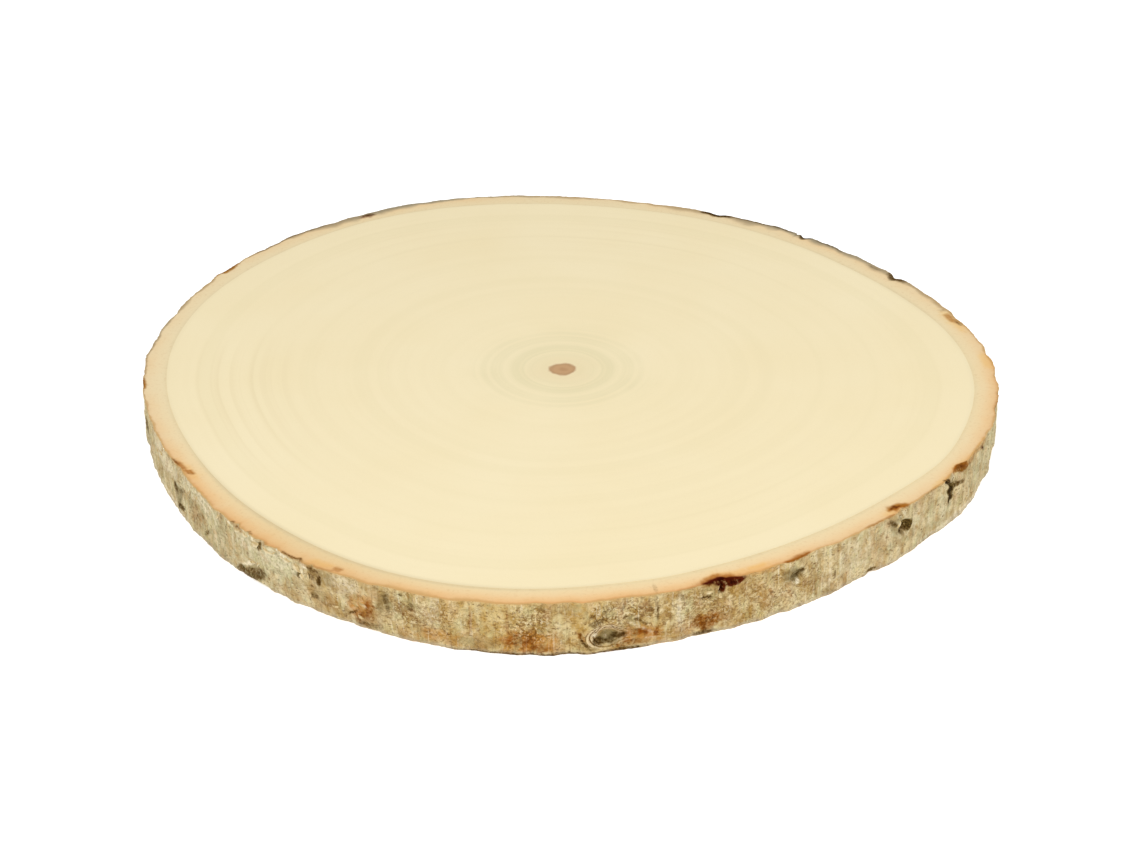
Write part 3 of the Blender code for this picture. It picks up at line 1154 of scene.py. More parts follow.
@dataclass
class BarkRing:
    """The ring of bark round the wood, with its relief, its blots and its two sawn edges."""

    trunk: Trunk
    finish: PoplarBark = PoplarBark()
    sides: int = 2000
    rows: int = 34
    sawn_rows: int = 6
    crowding: float = 1.6  # how much closer the sawn rows lie near the rim
    sunk: float = 0.06  # the sawn bark lies this far under the sawn wood
    unevenness: float = 0.05  # of the sawn bark
    blot_fade: tuple[float, float] = (1.25, 0.55)  # how far out a blot is gone, and is whole
    # To azimuth 250 the bark is a pale greenish grey with old scars, then to 292 ochre and crazed
    # but for a few pale bands, then to 20 a greyish tan, fine in grain. The rest faces away.
    blots: tuple = (
        *marks(
            Tint.LICHEN,
            (222, 12, 60, 20, 0.7), (192, 11, 45, 20, 0.6), (221.4, 15.6, 3.2, 5.4),
            (225.8, 3.4, 3, 2, 0.9), (234, 16, 11, 8), (258.4, 15, 2.6, 7, 0.35),
            (261.4, 15, 5, 6, 0.35), (272, 18.8, 2.6, 3, 0.5), (314, 12, 22, 14, 0.5),
            (325, 9, 20, 13, 0.6), (345, 10, 40, 16, 0.7), (95, 12, 50, 18, 0.7),
            (150, 11, 45, 18, 0.7),
        ),
        *marks(
            Tint.PALE,
            (203, 16.5, 20, 5, 0.55), (217.5, 18.5, 12, 3.6, 0.6), (213, 19.6, 9, 2.6, 0.4),
            (203, 1.4, 24, 1.7, 0.7), (192, 4, 16, 5, 0.35), (216.4, 23, 3.4, 0.6, 0.7),
            (221.2, 17.4, 2.2, 3, 0.45), (227.2, 22.4, 2.6, 0.8, 0.9, -10),
            # (228.7, 8) is the pale curl over the hollow: a pale flake edge with a painted highlight.
            (228.7, 8, 7.4, 1.1, 1.7, 26, 0.2), (224.4, 21.2, 2.2, 0.9, 1.1, -8, 0.5),
            (229.3, 20.8, 2.2, 0.9, 1.2, -8, 0.5), (233.6, 17.6, 10, 4.4, 0.45),
            (227.6, 17, 7, 4, 0.45), (234.6, 21.2, 5.4, 0.9, 1.2, -4, 0.5),
            (238.4, 20.6, 1.6, 1.4, 0.8, -50), (238, 18, 0.9, 2.6, 0.9), (244, 18, 6, 4, 0.45),
            # (246.6, 10.5) is a painted highlight.
            (243.4, 14, 1.6, 3, 0.4), (246.6, 10.5, 1, 1, 0.7, 0, 0.3), (255.4, 15, 3, 9, 0.3),
            # (274.1, 8) here and (275.3, 6.2) below are painted highlights in the eye knot's pit.
            (270, 10, 0.8, 11, 0.15), (272, 18.8, 2.6, 2.8, 0.1), (274.1, 8, 1, 0.9, 1.3, 0, 0.2),
            (275.3, 6.2, 0.8, 0.7, 0.6, 0, 0.3), (279.6, 9, 6, 0.7, 0.45, -28, 0.5),
            (280.6, 4, 3, 0.7, 0.45, -10, 0.5), (284.2, 13, 1, 7, 0.5),
            (300.4, 12, 1, 1, 1.3, 0, 0.2), (305.6, 14, 0.7, 9, 0.5), (307.5, 14, 1, 9, 0.55),
            # (317.7, 15.2) is a painted highlight on a knot's lip.
            (310.4, 12, 9, 9, 0.25), (317.7, 15.2, 3.2, 0.95, 1, -62, 0.3),
            (319.6, 10.2, 2.2, 0.9, 0.55, -20), (333, 1.4, 26, 1.7, 0.7),
            (77.2, 8.6, 1.2, 2.4, 0.8), (102, 11, 0.9, 12, 0.5),
        ),
        *marks(
            Tint.RUST,
            (185, 22, 5, 1.6, 0.8), (209.4, 23.4, 9.6, 1.5, 0.62, 7, 0.5),
            (211.2, 24.7, 3.4, 1.7, 0.7, 24, 0.5), (215, 9.6, 8.4, 5.6, 0.42, 60),
            (216.6, 10.4, 3.4, 5, 0.35), (224.6, 14, 1, 5, 0.2), (229.2, 4.4, 6.4, 3.2, 0.35, 25),
            (226.6, 20.8, 5, 1.4, 0.5, -6), (231.8, 21.6, 2.4, 1, 0.4, 40),
            (238.6, 21.4, 4.4, 1.1, 0.45, -6, 0.6), (241, 22.4, 5, 1, 0.4),
            (242.8, 25, 2.6, 1.9, 0.6, 0, 0.4), (243.4, 15.4, 1.4, 3.4, 0.2, 60),
            (247.3, 10.6, 2.6, 4.2, 0.65, -14), (246.4, 5.6, 5.4, 2.6, 0.5), (252.4, 14, 4, 3, 0.4),
            (252.6, 15.2, 3, 3, 0.3), (259.8, 14, 0.7, 9, 0.5), (264.1, 14, 0.7, 8, 0.45),
            (265.4, 6.2, 6.4, 3, 0.6), (267.8, 3.2, 4.6, 2.4, 0.55),
            (272.5, 7.8, 1.6, 3.2, 0.65, 30), (272.5, 4.6, 3.4, 3.4, 0.4),
            (275.4, 6.2, 1.2, 0.9, 0.3, 0, 0.3), (279.4, 7.4, 4.2, 1.8, 0.65),
            (281.4, 6.4, 1.2, 3.4, 0.6), (278.2, 3, 7, 1.9, 0.5), (267, 3, 8, 2.4, 0.4),
            (283.6, 19.8, 5, 2, 0.3), (286, 22.4, 8, 1.2, 0.4),
            (289.4, 22.8, 10, 3.4, 0.7, -6, 0.4), (288, 5.8, 7.4, 3.8, 0.7),
            (295.6, 21, 2.4, 0.9, 0.4), (300.5, 22.7, 7.6, 1.3, 0.85, 2, 0.3),
            (296.8, 10, 1, 3.4, 0.5, 22), (299.4, 8, 0.9, 2.4, 0.5, 22), (304, 7.6, 6.4, 4.6, 0.32),
            (318.6, 24.3, 6.4, 2.3, 0.95, -20, 0.4), (318.6, 23, 6, 1, 0.6, 0, 0.4),
            (313.4, 22.4, 7, 0.9, 0.5), (316, 22.4, 3.6, 0.9, 0.5), (324.4, 21.6, 7, 0.7, 0.45, -2),
            (332.5, 21, 6.4, 2.2, 0.95, -12, 0.4), (335.2, 19.8, 4.4, 1.4, 0.35, -16, 0.4),
            (335, 18, 12, 2.4, 0.2, -10), (350, 21.6, 14, 1, 0.5), (14.6, 24.2, 7, 1.8, 0.6),
            (163, 9, 4.6, 4.6, 0.9), (88, 14, 5, 5, 0.5), (148, 22.6, 9, 1.8, 0.8),
            (8, 5, 9, 4, 0.6),
        ),
        *marks(
            Tint.DARK,
            (186.5, 15, 3, 4, 0.5), (189, 9, 5, 3.4, 0.5), (207.6, 22.6, 4.4, 0.9, 0.5, 8),
            (211.6, 24.4, 2, 0.9, 0.3, 30), (207.5, 10.3, 3.2, 2.6, 0.72, 0, 0.4),
            (209.8, 11.8, 6, 1.7, 0.5, 32, 0.5), (209.4, 4.5, 5.4, 1.9, 0.85, 14, 0.6),
            (208.6, 6.6, 3.6, 1.6, 0.28, 24, 0.4), (217, 11.4, 1.4, 2.6, 0.35, 70),
            (217.6, 5.2, 3.6, 1.1, 0.6, 45, 0.4), (227.8, 2.4, 8, 2.8, 0.62, 14, 0.5),
            (226.2, 2.6, 3.2, 2, 0.75, 20, 0.4), (230.3, 5.8, 5.4, 2.8, 0.62, 42, 0.4),
            (226, 1.4, 3.4, 1.2, 0.6), (225.2, 22.2, 1.3, 0.6, 0.5),
            (228.8, 22.4, 2.4, 0.6, 0.45, 10), (230.7, 19, 2.6, 1.5, 0.95, 50, 0.5),
            (236.4, 22.4, 6, 0.6, 0.7, 0, 0.5), (237.4, 15.2, 1.1, 2.4, 0.7, -20, 0.4),
            (240.4, 15.6, 1.3, 3.4, 0.8, -8, 0.5), (239.6, 17.6, 3.2, 2.4, 0.45, 30, 0.7),
            (239.7, 20.4, 2.8, 0.9, 0.6, -8, 0.5), (239.2, 12, 1.2, 0.9, 0.6),
            (239.4, 7.6, 2.2, 1.8, 0.55), (241, 5.6, 3.4, 1.6, 0.3),
            (244.8, 6, 3.6, 0.8, 0.8, 35, 0.7), (247.2, 2.8, 6.8, 1.9, 0.45),
            (249.6, 16.8, 1.7, 2.6, 0.52), (249.8, 12.4, 1, 2.4, 0.5),
            (251.6, 20, 1.4, 0.9, 0.6, 0, 0.5), (252.7, 15.4, 2.4, 1.6, 0.45, 30, 0.7),
            (273, 4.6, 3.8, 0.9, 0.65, -58, 0.4), (272.4, 8.6, 1.6, 0.8, 0.4, -80, 0.4),
            # (276.8, 6.5) is painted shade on the right of the eye knot's pit.
            (276.8, 6.5, 3.6, 1.5, 0.7, 6, 0.4), (275.7, 4.7, 3, 1.1, 0.62, 0, 0.4),
            (274.6, 5.1, 2.6, 1.7, 0.7, -14, 0.5), (281.6, 13.6, 0.5, 8.4, 0.55, 0, 0.5),
            # (267, 0.2) here and (277.4, 0.4) below are painted shade along the lower rim.
            (281.5, 25.4, 1.2, 4, 0.32, 0, 0.4), (267, 0.2, 34, 1.1, 0.6),
            (277.4, 0.4, 11, 1.2, 0.7), (273.6, 2.2, 3, 1, 0.4), (284.6, 18.8, 1, 1.5, 0.5),
            (282.6, 18, 0.9, 1.1, 0.5), (280.2, 10.4, 1.3, 0.8, 0.6), (277.7, 13.6, 1, 1.2, 0.5),
            (274.4, 13.2, 4.4, 1.4, 0.45, 12, 1.2), (275.4, 16.4, 0.9, 2.4, 0.5, 18, 0.9),
            (273.4, 15.2, 2.4, 0.9, 0.4, 30, 1), (279.4, 11.8, 2.8, 1, 0.5, -34, 1.1),
            (277.4, 17.6, 0.8, 2.2, 0.4, -24, 0.9), (280.8, 16.8, 0.8, 2.6, 0.4, 10, 0.9),
            (289, 22.2, 4.6, 1, 0.3, -5, 0.4), (289.6, 21.7, 2.2, 1.3, 0.4, 0, 0.4),
            (291.5, 20.7, 3.4, 0.9, 0.4, 0, 0.3), (289.6, 18.8, 1, 2, 0.6, -12, 0.4),
            # (287.6, 1) is painted shade along the lower rim.
            (287.7, 16.4, 2.6, 0.9, 0.85, -10, 0.3), (287.6, 1, 6, 0.9, 0.6),
            (300.2, 15.6, 3.6, 2.3, 0.6, -10, 0.5), (300.9, 16.6, 1.9, 1.1, 0.75, -14, 0.4),
            (306.4, 8.6, 0.8, 2.8, 0.6, 0, 0.3), (313.2, 2, 3, 1.1, 0.75, 0, 0.4),
            (319.6, 13.9, 3.6, 2.5, 0.95, -6, 0.4), (318.2, 12.6, 2.6, 1, 0.7, -30),
            (316.4, 18.6, 3, 1.2, 0.6, -42, 0.4), (315.9, 19.4, 1.5, 0.9, 0.5, -30, 0.6),
            (328.7, 20.1, 4.8, 0.95, 1, -38, 0.2), (329.4, 15.3, 3.8, 2, 1.1, -20, 0.2),
            (329.4, 15.3, 3, 1.5, 1.7, -20, 0.1), (331, 15.6, 4.2, 1.4, 0.9, -15, 0.3),
            (332.2, 15, 4, 1.2, 0.6, -15, 0.3), (329.4, 12.1, 2.4, 2.2, 1.6, -10, 0.1),
            (329.1, 9.8, 1.1, 1.5, 0.5, 0, 0.3), (330.1, 18.4, 2.2, 0.8, 0.6, 50, 0.3),
            (340, 17.9, 3.8, 0.9, 0.5, -36, 0.4), (13, 23.4, 3, 1.2, 0.5),
            (17.4, 24.4, 2.4, 1.2, 0.4), (64.3, 23.2, 9.5, 2, 1, 0, 0.4), (56, 22.6, 22, 1, 0.6),
            (44, 22.6, 10, 0.9, 0.5), (48.5, 22.6, 4, 1.6, 0.9), (29.5, 23.2, 6, 2, 0.8),
            (34, 24, 5, 1.2, 0.4), (121, 24.4, 4.6, 1.6, 0.6), (136, 22.6, 30, 0.9, 0.5),
            (22.3, 11.2, 4.4, 1.9, 0.85), (78, 8.2, 4, 3.2, 0.9), (121.4, 12.8, 4.8, 1.8, 0.9),
            (163.2, 9.2, 2.4, 2.6, 0.8), (60, 0.4, 30, 1.2, 0.6), (90, 18, 3, 4, 0.7),
            (142, 13, 1, 8, 0.8), (51, 13, 1, 9, 0.8),
        ),
        *marks(
            Tint.SLATE,
            (189, 6, 12, 6, 0.5), (208.4, 7.2, 5, 6.5, 0.5), (213.6, 12.4, 5, 3, 0.3),
            (241.4, 18, 4.4, 3.8, 0.5), (240.2, 8.4, 4, 3.4, 0.35), (249.4, 14.8, 3.6, 5.2, 0.6),
            (261, 4.4, 9, 3, 0.45), (275.8, 6.2, 5.2, 2.6, 0.8, 0, 0.4), (279.4, 3.2, 5, 1.8, 0.35),
            (299.8, 15.6, 4.4, 3.2, 0.9, -8, 0.4), (304.6, 2.6, 4.6, 1.8, 0.35),
            (317.4, 16.4, 5, 3.4, 0.55, -30), (22, 11.5, 7, 4, 0.7),
        ),
        *marks(
            Tint.GOLD,
            (210.4, 24, 11, 2.4, 0.6, 7, 0.5), (224, 11.4, 2.4, 5.2, 0.4), (240.4, 8, 7, 4.4, 0.3),
            (240.4, 24.6, 6, 2, 0.7, 8, 0.5), (246, 10, 7.4, 5, 0.9, 50), (255, 5.4, 8, 3.4, 0.6),
            (257.6, 17, 3, 6, 0.15), (266.4, 5.6, 11, 5.6), (259.6, 4.6, 10, 3.6, 0.45),
            (279.6, 6, 8, 4.6), (290.4, 24, 10, 2.6, 0.7, -6, 0.5), (287.8, 6, 7.6, 4.4, 0.5),
            (294.8, 22.8, 8, 1.9, 0.7, -3), (292.8, 24.4, 3, 1.4, 0.7, -3),
            (295, 25, 5, 1.2, 1, 0, 0.4), (297, 20.8, 3.6, 1.4, 0.5), (296, 12, 5, 8, 0.25),
            (318, 23.4, 9, 2, 0.8, -6, 0.4), (327.2, 22.6, 7, 1.6, 0.8, 0, 0.4),
            (334, 21.8, 14, 2.2, 0.7, -4, 0.4), (339.4, 20.8, 7, 2, 0.7, -8),
            (1.5, 23.4, 8, 3, 0.8), (14, 24.4, 12, 3, 0.8), (38, 4, 18, 5, 0.9),
            (110, 5, 14, 5, 0.8), (172, 6, 16, 5, 0.7),
        ),
        *marks(
            Tint.CRAZED,
            (254, 13, 16, 8, 0.6), (266.8, 13, 8.5, 8, 0.95), (277.6, 15.5, 15, 6),
            (286.5, 11, 14, 11, 0.75), (297, 9, 30, 11, 0.5), (50, 11, 45, 12, 0.9),
            (130, 9, 30, 12, 0.8),
        ),
        *marks(
            Tint.SAP,
            (288.9, 22.3, 5.8, 1.4, 1, -5, 0.3), (289.5, 21.8, 3, 1.9, 1, 0, 0.3),
            (291.3, 20.9, 4.9, 1.9, 1.2, 0, 0.15), (289.7, 19, 1.5, 2.4, 1, -12, 0.3),
            (301.8, 22.8, 3.4, 0.7, 0.35, 4, 0.3), (318.3, 24.5, 3.6, 1.3, 0.65, -22, 0.4),
            (319.3, 23.5, 2.6, 0.9, 0.35, -10, 0.3), (332.3, 20.9, 4.8, 1.4, 0.4, -10, 0.4),
            (340, 17.9, 4.2, 1.1, 0.6, -36, 0.4), (121.2, 25, 6, 2.2, 0.6),
        ),
    )
    # Where the sawn inner bark is fresh and peach: azimuth, half width in degrees, share.
    blushes: tuple = (
        (270, 84, 1.0),
        (215, 24, 0.4),
        (355, 30, 0.5),
        (45, 30, 0.35),
        (120, 25, 0.5),
    )
    # Where it is a deeper tan: azimuth, half width in degrees, share.
    deeper_sides: tuple = ((238, 24, 0.65),)
    # Width of the brown skin at the edge of the sawn bark, and where it is wider.
    skin: float = 0.55
    skin_changes: tuple = (
        (32, 22, 1.9),
        (62, 20, 2.4),
        (92, 20, 0.9),
        (122, 16, 3.4),
        (160, 20, 0.6),
        (250, 16, 0.5),
        (257, 7, 0.6),
        (272, 14, 0.25),
    )
    # Where the skin at the rim is weathered to grey: azimuth, half width, share.
    old_sides: tuple = ((45, 40, 1.0), (115, 40, 1.0), (170, 25, 0.7))
    # How far the bark is ochre rather than grey, and where it is more so.
    warmth: float = 0.35
    warm_sides: tuple = (
        (269, 22, 0.75),
        (245, 10, 0.1),
        (294, 12, 0.3),
        (40, 30, 0.4),
        (120, 30, 0.3),
    )

    def build(self) -> bpy.types.Object:
        """Models the ring from a cylinder: its ends inset, its middle opened, its wall cut fine.

        Returns:
            The finished piece.
        """
        size = self.trunk
        width = size.bark_width * MM
        inner = (size.mean_radius - size.bark_width / 2) * MM
        piece = new_cylinder("bark", self.sides, size.mean_radius, size.thickness)
        select(piece, Element.FACE, is_end)
        bpy.ops.mesh.inset(thickness=width, use_individual=True)
        bpy.ops.mesh.delete(type="FACE")
        select(
            piece, Element.EDGE, lambda edge: all(vert.co.xy.length < inner for vert in edge.verts)
        )
        bpy.ops.mesh.bridge_edge_loops()
        select(
            piece,
            Element.EDGE,
            lambda edge: self.stands(edge) and edge.verts[0].co.xy.length > inner,
        )
        bpy.ops.mesh.subdivide(number_cuts=self.rows - 1)
        select(piece, Element.EDGE, self.points_outward)
        bpy.ops.mesh.subdivide(number_cuts=self.sawn_rows - 1)
        bpy.ops.mesh.select_all(action="SELECT")
        bpy.ops.mesh.normals_make_consistent(inside=False)
        bpy.ops.object.mode_set(mode="OBJECT")
        self.shape(piece)
        finish_piece(piece, self.finish.material(), 60)
        return piece

    @staticmethod
    def stands(edge: bmesh.types.BMEdge) -> bool:
        """Whether an edge runs up the wall, by a millimetre or more."""
        low, high = edge.verts
        return abs(low.co.z - high.co.z) > MM

    @staticmethod
    def points_outward(edge: bmesh.types.BMEdge) -> bool:
        """Whether an edge runs from the wood to the rim, by a millimetre or more."""
        near, far = edge.verts
        return abs(near.co.xy.length - far.co.xy.length) > MM

    def shape(self, piece: bpy.types.Object) -> None:
        """Moves each point to the real bark, and keeps what the material reads there.

        Args:
            piece: the plain ring.
        """
        size = self.trunk
        plain = coordinates(piece)
        azimuth, reach = polar(plain)
        share = 1.0 - np.clip((size.mean_radius - reach) / size.bark_width, 0.0, 1.0) ** self.crowding
        height = plain[:, 2]
        inwards = (1.0 - share) * size.bark_width
        on_wall = inwards < NEAR
        upper = height > size.thickness / 2
        lie = np.where(on_wall, height, np.where(upper, size.thickness + inwards, -inwards))
        masks = self.masks(azimuth, lie)
        wall = size.wall(azimuth, height) + on_wall * self.fine_relief(azimuth, height, masks)
        wood = size.wood_radius(azimuth)
        radius = wood + share * (wall - wood)
        within = on_wall & (height > NEAR) & (height < size.thickness - NEAR)
        uneven = self.unevenness * (1.0 + grain(size.places(azimuth, lie), 2.2))
        dip = np.where(within, 0.0, self.sunk + uneven) * np.where(upper, -1.0, 1.0)
        move_to(piece, size.points(azimuth, radius, height + dip))
        for name, start, parts in (
            ("blush", 0.0, self.blushes),
            ("deep", 0.0, self.deeper_sides),
            ("warmth", self.warmth, self.warm_sides),
            ("old", 0.0, self.old_sides),
        ):
            keep_value(piece, name, np.clip(start + size.around(azimuth, parts), 0.0, 1.0))
        patchy = 1.0 + 0.9 * grain(size.places(azimuth, np.zeros_like(azimuth)), 9.0, 13.0)
        skin = self.skin + size.around(azimuth, self.skin_changes)
        for name, values in (
            ("lie", lie),
            ("across", share),
            ("cambium", size.cambium(azimuth)),
            ("skin", skin * np.clip(patchy, 0.2, 2.0)),
            ("eye", size.eye(azimuth, lie)),
            ("folds", size.folded(azimuth, lie)),
            ("inwards", inwards * ~on_wall),
        ):
            keep_value(piece, name, values)
        for tint, mask in masks.items():
            keep_value(piece, tint.value, mask)

    def masks(self, azimuth: np.ndarray, lie: np.ndarray) -> dict[Tint, np.ndarray]:
        """Finds how much of each tint there is.

        Args:
            azimuth: azimuths in degrees.
            lie: how high on the bark each place lies, in millimetres.

        Returns:
            For each tint, a value from 0 to 1 at each place.
        """
        places = self.trunk.places(azimuth, lie)
        ragged = 0.5 * grain(places, 3.4, 1.0) + 0.4 * grain(places, 1.4, 2.0)
        masks = {tint: np.zeros_like(azimuth) for tint in Tint}
        for blot in self.blots:
            across = self.trunk.arc(azimuth, blot.azimuth)
            up = lie - blot.lie
            tilt = math.radians(blot.turn)
            along = (across * math.cos(tilt) + up * math.sin(tilt)) / blot.half_width
            beside = (up * math.cos(tilt) - across * math.sin(tilt)) / blot.half_height
            reach = np.hypot(along, beside) + ragged * blot.rough
            shown = blot.strength * ease(reach, *self.blot_fade)
            masks[blot.tint] = np.maximum(masks[blot.tint], shown)
        return masks

    def fine_relief(
        self, azimuth: np.ndarray, height: np.ndarray, masks: dict[Tint, np.ndarray]
    ) -> np.ndarray:
        """Finds the bark's own roughness: crust, upright streaks, crazing and lichen.

        Args:
            azimuth: azimuths in degrees.
            height: heights on the wall, in millimetres.
            masks: how much of each tint there is at each place.

        Returns:
            How far the surface stands out at each place, in millimetres.
        """
        places = self.trunk.places(azimuth, height)
        crust = 0.22 * grain(places, 2.4, 3.0) + 0.12 * grain(places, (1.5, 1.5, 1.1), 4.0)
        streaks = 0.16 * grain(places, (1.2, 1.2, 9.0), 5.0)
        crazing = 0.4 * masks[Tint.CRAZED] * (ridges(places, (1.9, 1.9, 1.6), 6.0) - 0.4)
        lichen = 0.25 * masks[Tint.LICHEN] * ease(grain(places, (2.6, 2.6, 3.2), 7.0), 0.0, 0.35)
        return crust + streaks + crazing + lichen


@dataclass(frozen=True)
class Flake:
    """A thin scale of bark that curls away from the wall."""

    azimuth: float
    height: float  # of its fixed edge's middle
    length: float
    width: float
    turn: float  # of its long side from level, in degrees
    lift: float  # how far its free edge stands out
    fresh: float = 1.0  # how pale its free edge is


@dataclass(frozen=True)
class PaperyBark:
    """Papery outer bark, dry: matt, pale cream at its free edge, tan where it joins."""

    tan: str = "#b99c6a"
    light_tan: str = "#d5c090"
    cream: str = "#e8d9b2"

    def material(self) -> bpy.types.Material:
        """Mottles the scale and lightens its edge.

        Returns:
            The finished material.
        """
        make = Palette("poplar_bark_papery_scale")
        mottle = make.span(make.noise(1.0, 3.0, 2.0), 0.35, 0.65)
        base = make.mix(mottle, self.tan, self.light_tan)
        colour = make.lay(base, self.cream, make.value("free"), 0.35, 0.95, 0.9)
        relief = make.bump(mottle, 0.15)
        return make.finish(colour, relief, Roughness=0.85, Specular_IOR_Level=0.04)


@dataclass
class BarkFlakes:
    """Papery scales, curling off the bark below the rim and round the old scars."""

    trunk: Trunk
    finish: PaperyBark = PaperyBark()
    thickness: float = 0.3
    sunk: float = 0.25  # how far a flake's fixed edge lies in the bark
    margin: float = 0.6  # between a flake and the sawn faces
    seen: tuple = (
        Flake(226.2, 20.6, 4.2, 1.6, 12, 1.0),
        Flake(228.0, 20.9, 3.2, 1.3, -14, 0.8),
        Flake(230.1, 20.4, 4.8, 1.8, 8, 1.2),
        Flake(232.6, 20.3, 6.0, 1.5, -6, 1.0),
        Flake(235.4, 20.6, 6.4, 1.3, -4, 0.9),
        Flake(237.6, 18.6, 4.0, 1.6, -64, 1.0),
        Flake(238.2, 15.0, 3.6, 1.4, -80, 0.9),
        Flake(228.4, 8.6, 5.0, 1.5, 30, 1.2),
        Flake(230.2, 11.4, 4.2, 1.3, 42, 1.1),
        Flake(221.6, 19.6, 3.4, 1.2, 30, 0.8),
        Flake(213.2, 17.4, 4.0, 1.3, 50, 0.8),
        Flake(317.2, 17.6, 3.0, 1.2, 60, 0.8),
        Flake(288.0, 18.9, 3.0, 0.9, -12, 0.6),
    )
    scattered: int = 50
    faded: float = 0.55  # how pale the free edge of a scattered flake is

    def build(self) -> bpy.types.Object:
        """Models one flake and lays its copies, which are joined into one piece.

        Returns:
            The finished piece.
        """
        pattern = self.pattern()
        dice = np.random.default_rng(11)
        others = [
            Flake(
                azimuth=float(dice.uniform(0, 360)),
                height=float(dice.uniform(3, 20)),
                length=float(dice.uniform(1.6, 3.6)),
                width=float(dice.uniform(0.8, 1.4)),
                turn=float(dice.normal(0, 40)),
                lift=float(dice.uniform(0.3, 0.7)),
                fresh=self.faded,
            )
            for _ in range(self.scattered)
        ]
        flakes = [self.lay(pattern, flake, dice) for flake in (*self.seen, *others)]
        bpy.ops.object.select_all(action="DESELECT")
        for flake in flakes:
            flake.select_set(True)
        bpy.context.view_layer.objects.active = flakes[0]
        bpy.ops.object.join()
        piece = bpy.context.object
        piece.name = "bark_flakes"
        piece.data.name = "bark_flakes"
        bpy.data.objects.remove(pattern)
        finish_piece(piece, self.finish.material(), 60)
        return piece

    def pattern(self) -> bpy.types.Object:
        """Makes a flat plate one unit long and wide, cut into small squares.

        Returns:
            The plate, which is thin in y.
        """
        bpy.ops.object.select_all(action="DESELECT")
        bpy.ops.mesh.primitive_cube_add(size=1.0)
        plate = bpy.context.object
        bpy.ops.object.mode_set(mode="EDIT")
        select(plate, Element.EDGE, lambda edge: abs(edge.verts[0].co.y - edge.verts[1].co.y) < 0.5)
        bpy.ops.mesh.subdivide(number_cuts=4)
        bpy.ops.object.mode_set(mode="OBJECT")
        return plate

    def lay(
        self, pattern: bpy.types.Object, flake: Flake, dice: np.random.Generator
    ) -> bpy.types.Object:
        """Copies the plate, tears its edge, curls it and lays it on the wall.

        Args:
            pattern: the flat plate.
            flake: where it goes and how large it is.
            dice: draws how its edge is torn.

        Returns:
            The flake.
        """
        piece = pattern.copy()
        piece.data = pattern.data.copy()
        bpy.context.scene.collection.objects.link(piece)
        along, thick, across = coordinates(piece).T * MM
        level = np.zeros_like(along)
        places = np.stack([along * 2.6, level, level + dice.uniform(0, 50)], axis=1)
        torn = 1.0 + 0.35 * grain(places, 1.0)
        taper = np.sqrt(np.clip(1.0 - (2 * along) ** 2, 0.0, 1.0)) * 0.75 + 0.25
        free = (0.5 - across) * torn * taper  # 0 on the fixed edge, 1 on the free one
        side = along * flake.length
        down = free * flake.width
        tilt = math.radians(flake.turn)
        arc = side * math.cos(tilt) + down * math.sin(tilt)
        height = flake.height + side * math.sin(tilt) - down * math.cos(tilt)
        height = np.clip(height, self.margin, self.trunk.thickness - self.margin)
        azimuth = flake.azimuth + np.degrees(arc / self.trunk.mean_radius)
        stands = flake.lift * free**1.5 + (thick + 0.5) * self.thickness * (1.3 - free)
        radius = self.trunk.wall(azimuth, height) - self.sunk + stands
        move_to(piece, self.trunk.points(azimuth, radius, height))
        keep_value(piece, "free", free * flake.fresh)
        return piece


# The studio


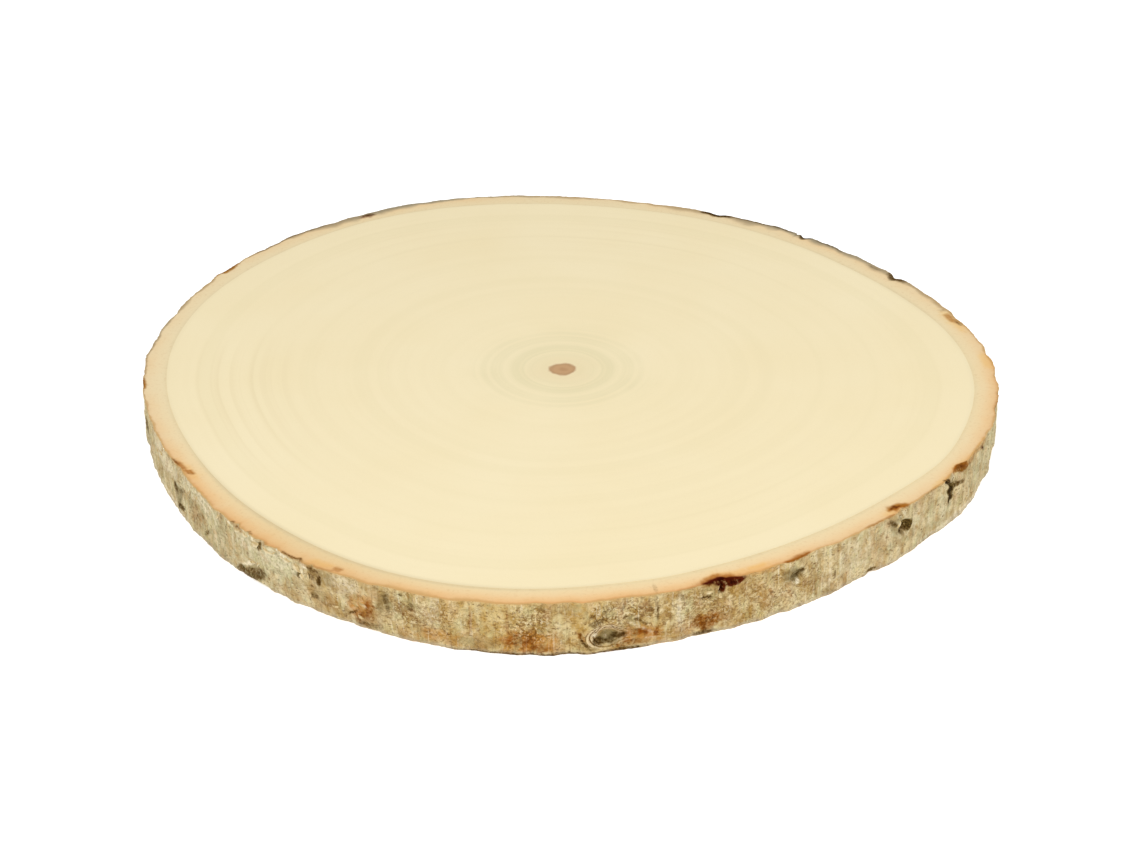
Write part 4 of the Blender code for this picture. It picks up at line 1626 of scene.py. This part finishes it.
@dataclass(frozen=True)
class Studio:
    """A pale floor, soft light from the front and above, and the camera."""

    look_at: tuple[float, float, float] = (0.6, -11.0, 0.0)
    distance: float = 1000.2
    elevation: float = 29.5
    focal_pixels: float = 2400.0  # focal length on a picture 1140 pixels wide
    picture_width: float = 1140.0
    sensor: float = 36.0

    def build(self) -> None:
        """Makes everything round the slice."""
        scene = bpy.context.scene
        scene.view_settings.view_transform = "Standard"
        self.floor()
        self.dome()
        self.lamp("key", (-250, -900, 1250), 900, 9.5)
        self.lamp("fill", (900, -300, 900), 800, 2.5)
        self.camera()

    def floor(self) -> None:
        """A smooth white floor, lit enough to lose its edges."""
        bpy.ops.object.select_all(action="DESELECT")
        bpy.ops.mesh.primitive_plane_add(size=30)
        floor = bpy.context.object
        floor.name = "floor"
        made = bpy.data.materials.new("floor_white_card")
        made.use_nodes = True
        shader = made.node_tree.nodes["Principled BSDF"]
        shader.inputs["Base Color"].default_value = linear("#f7f7f7")
        shader.inputs["Roughness"].default_value = 0.9
        shader.inputs["Emission Color"].default_value = linear("#ffffff")
        shader.inputs["Emission Strength"].default_value = 0.45
        floor.data.materials.append(made)

    def dome(self) -> None:
        """Even white light from all round, brighter where the camera sees it."""
        world = bpy.data.worlds.new("studio")
        bpy.context.scene.world = world
        world.use_nodes = True
        tree = world.node_tree
        ray = add_node(tree, "LightPath").outputs["Is Camera Ray"]
        strength = add_node(tree, "MapRange", {"Value": ray, "To Min": 0.6, "To Max": 1.0}).outputs[0]
        back = tree.nodes["Background"]
        back.inputs["Color"].default_value = (1, 1, 1, 1)
        tree.links.new(strength, back.inputs["Strength"])

    def lamp(self, name: str, place: tuple[float, float, float], size: float, power: float) -> None:
        """Hangs a square soft light, aimed at the slice.

        Args:
            name: the lamp's name.
            place: where it hangs, in millimetres.
            size: how wide it is, in millimetres.
            power: its power in watts.
        """
        light = bpy.data.lights.new(name, "AREA")
        light.size = size * MM
        light.energy = power
        holder = bpy.data.objects.new(name, light)
        holder.location = Vector(place) * MM
        holder.rotation_euler = holder.location.to_track_quat("Z", "Y").to_euler()
        bpy.context.scene.collection.objects.link(holder)

    def camera(self) -> None:
        """The photograph's view."""
        camera = bpy.data.cameras.new("camera")
        camera.sensor_width = self.sensor
        camera.sensor_fit = "HORIZONTAL"
        camera.lens = self.focal_pixels / self.picture_width * self.sensor
        holder = bpy.data.objects.new("camera", camera)
        turn = math.radians(self.elevation)
        back = Vector((0, -math.cos(turn), math.sin(turn)))
        holder.location = (Vector(self.look_at) + back * self.distance) * MM
        holder.rotation_euler = back.to_track_quat("Z", "Y").to_euler()
        bpy.context.scene.collection.objects.link(holder)
        bpy.context.scene.camera = holder


def main() -> None:
    """Builds the slice and the studio."""
    logging.basicConfig(level=logging.INFO, format="%(message)s")
    trunk = Trunk()
    SawnWood(trunk).build()
    BarkRing(trunk).build()
    BarkFlakes(trunk).build()
    Studio().build()


if __name__ == "__main__":
    main()
